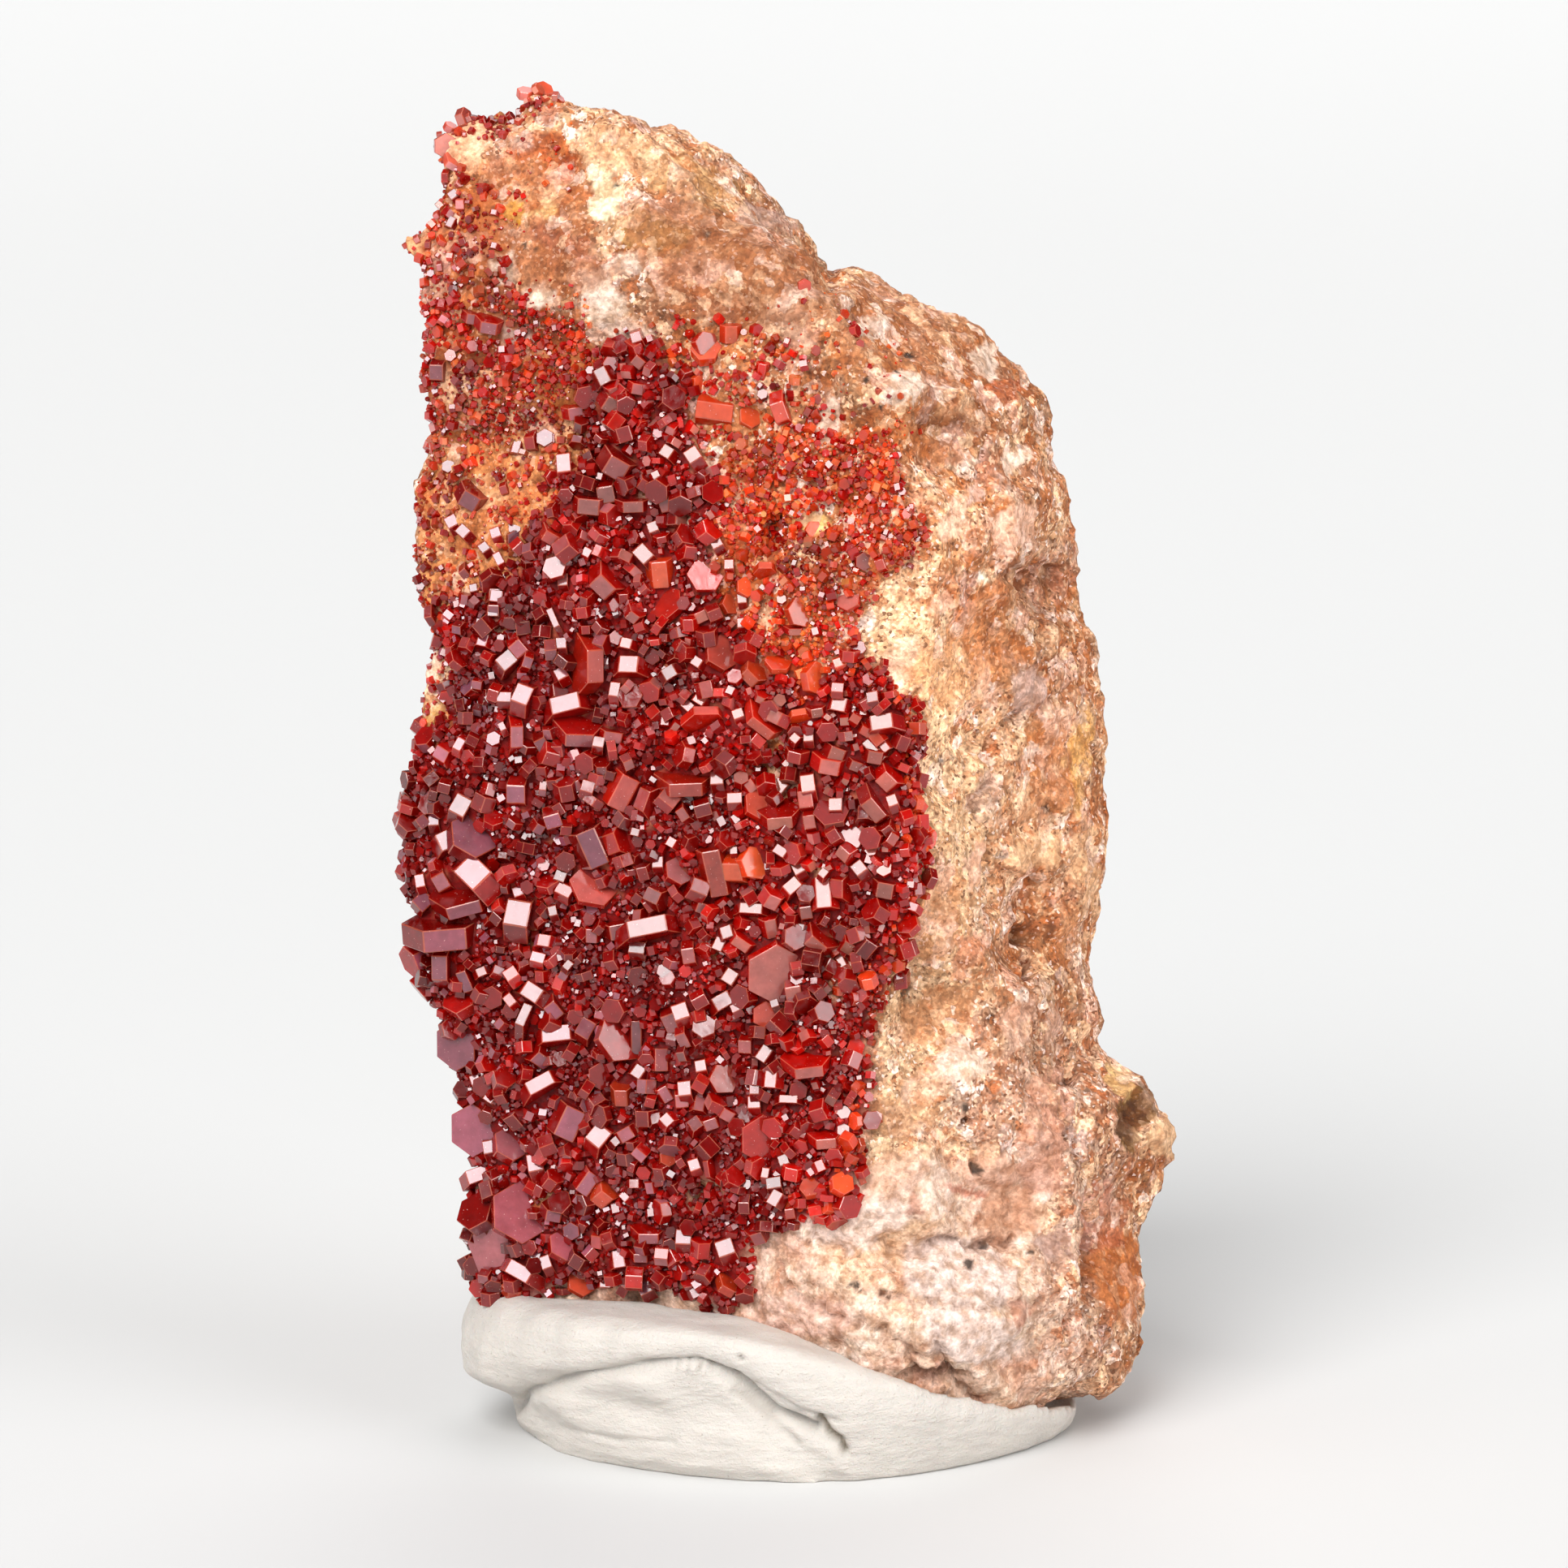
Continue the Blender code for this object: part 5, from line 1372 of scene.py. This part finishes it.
def rock_material():
    """Crumbly rock: fragments, grains and sand over the tint, strongest where the rock is bare."""
    look = Shader("barite_rock", Specular_IOR_Level=0.3)
    shaken, ragged = look.shaken(0.45, 0.6), look.shaken(0.12, 0.10)
    large, small, grains = look.cells(1.8, shaken), look.cells(0.75, shaken), look.cells(0.17, ragged)
    sand, coarse = look.noise(0.30, 2.0, 0.5), look.noise(0.8, 3.0, 0.6)
    gathered = look.ranged(look.noise(3.2, 2.0), 0.42, 0.56, 0.25, 1.0)
    shown = look.product(look.bareness, gathered)
    colour = look.tint
    for cell, table in ((large, LARGE_FRAGMENTS), (small, SMALL_FRAGMENTS)):
        fragment, strength = look.table(cell, table)
        colour = look.mixed(look.product(shown, strength), colour, fragment)
    shade = look.mixed(look.ranged(coarse, 0.36, 0.64, 0, 1), (0.76, 0.62, 0.50, 1), (1.24, 1.20, 1.16, 1))
    colour = look.mixed(1.0, colour, shade, "MULTIPLY")
    rough = look.scaled(colour, look.ranged(sand, 0.32, 0.68, 0.76, 1.24))
    rough = look.scaled(rough, look.ranged(grains, 0.0, 1.0, 0.66, 1.34))
    grain, strength = look.table(grains, GRAINS)
    rough = look.mixed(look.product(look.bareness, strength), rough, grain)
    colour = look.mixed(look.ranged(look.bareness, 0.2, 0.9, 0.45, 1.0), colour, rough)
    edges, here = look.ranged(look.gaps(1.8, shaken), 0.0, 0.05, 0.7, 0.0), look.noise(2.5)
    cracks = look.product(edges, look.ranged(here, 0.5, 0.62, 0.0, 1.0))
    colour = look.mixed(look.product(look.bareness, cracks), colour, (0.20, 0.08, 0.035, 1))
    return look.finish(
        look.deepened(colour, 1.12), look.ranged(look.noise(0.4, 2.0), 0.3, 0.7, 0.6, 0.95),
        (coarse, 0.14), (large, 0.05), (small, 0.05), (sand, 0.05), (look.gaps(0.17, ragged), 0.02),
    )


def crystal_material():
    """Glossy crystal that light enters a little, with clouds and pale specks: painted glints and some dust.
    """
    look = Shader(
        "vanadinite", IOR=1.66, Subsurface_Weight=0.4, Subsurface_Scale=1.0 * MM,
        Subsurface_Radius=(1.0, 0.10, 0.05),
    )
    clouds = look.noise(0.9, 3.0, 0.6)
    colour = look.scaled(look.tint, look.ranged(clouds, 0.3, 0.7, 0.80, 1.2))
    # Pale specks: painted glints, with some dust.
    dust_and_glints = look.ranged(look.noise(0.12, 1.0), 0.73, 0.77, 0.0, 0.6)
    return look.finish(
        look.mixed(dust_and_glints, colour, (0.72, 0.42, 0.38, 1)),
        look.ranged(look.noise(0.5, 3.0), 0.35, 0.75, 0.07, 0.24),
        (look.noise(0.7, 2.0, 0.5), 0.008), (look.noise(0.15, 2.0, 0.6), 0.002),
    )


def putty_material():
    """Soft putty with pulled streaks and a little dirt."""
    look = Shader("putty", Specular_IOR_Level=0.4, Subsurface_Weight=0.1, Subsurface_Scale=0.8 * MM)
    streaks = look.noise(0.5, 4.0, 0.6, (0.22, 0.22, 1.0))
    colour = look.scaled(look.tint, look.ranged(streaks, 0.3, 0.7, 0.95, 1.04))
    dirt = look.ranged(look.noise(0.2, 2.0, 0.6), 0.68, 0.72, 0.0, 0.6)
    return look.finish(
        look.mixed(dirt, colour, (0.32, 0.26, 0.20, 1)),
        look.ranged(look.noise(0.8, 2.0), 0.3, 0.7, 0.45, 0.65),
        (streaks, 0.12), (look.noise(0.25, 3.0, 0.7), 0.08), (look.noise(0.12, 2.0), 0.035),
    )


def studio():
    """The floor, which rises a little far away, the lights and the camera."""
    turns = [2 * math.pi * i / FLOOR_SIDES for i in range(FLOOR_SIDES)]
    corners = [(r * math.cos(a), r * math.sin(a), z) for r, z in FLOOR_PROFILE for a in turns]
    faces = [tuple(range(FLOOR_SIDES))]
    for inner in range(0, (len(FLOOR_PROFILE) - 1) * FLOOR_SIDES, FLOOR_SIDES):
        outer = inner + FLOOR_SIDES
        for i in range(FLOOR_SIDES):
            j = (i + 1) % FLOOR_SIDES
            faces.append((inner + i, outer + i, outer + j, inner + j))
    mesh = bpy.data.meshes.new("floor")
    mesh.from_pydata(corners, [], faces)
    mesh.shade_smooth()
    material = bpy.data.materials.new("floor")
    material.use_nodes = True
    surface = material.node_tree.nodes["Principled BSDF"]
    surface.inputs["Base Color"].default_value = (*FLOOR_COLOUR, 1)
    surface.inputs["Roughness"].default_value = FLOOR_ROUGHNESS
    mesh.materials.append(material)
    floor = linked("floor", mesh)

    world = bpy.data.worlds.new("studio")
    world.use_nodes = True
    sky = world.node_tree.nodes["Background"]
    sky.inputs["Color"].default_value = (*SKY_COLOUR, 1)
    sky.inputs["Strength"].default_value = SKY_STRENGTH
    bpy.context.scene.world = world
    bpy.context.scene.view_settings.view_transform = "Standard"
    for name, (azimuth, elevation, breadth, strength) in LIGHTS.items():
        light = bpy.data.lights.new(name, "SUN")
        light.energy, light.angle = strength, math.radians(breadth)
        towards = direction_of(azimuth, elevation)
        linked(name, light).rotation_euler = towards.to_track_quat("Z", "Y").to_euler()

    data = bpy.data.cameras.new("camera")
    data.lens, data.sensor_width, data.clip_start = LENS, SENSOR, 0.01
    camera = linked("camera", data)
    camera.location = EYE
    camera.rotation_euler = BACK.to_track_quat("Z", "Y").to_euler()
    bpy.context.scene.camera = camera


def build():
    """Every piece, each riding on the body and standing in for its CAD node."""
    rock = dress_rock()
    surface = BVHTree.FromPolygons(
        [v.co for v in rock.data.vertices], [tuple(p.vertices) for p in rock.data.polygons]
    )
    finish = crystal_material()
    druses, places = large_crystals(surface)
    small_crystals(rock, places, druses)
    for piece, slot, node in (
        (rock, "barite_rock", "rock"),
        (druses["crust"].build("large_crystals", finish), "vanadinite", "crystal_crust"),
        (druses["lower"].build("lower_small_crystals", finish), "vanadinite", "crystal_crust"),
        (druses["upper"].build("upper_small_crystals", finish), "vanadinite", "crystal_crust"),
        (druses["band"].build("band_of_crystals", finish), "vanadinite", "upper_crystal_band"),
        (druses["crown"].build("crown_of_crystals", finish), "vanadinite", "crown_crystals"),
        (dress_putty(), "putty", "putty"),
    ):
        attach(piece, "root")
        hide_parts(node)


build()
studio()
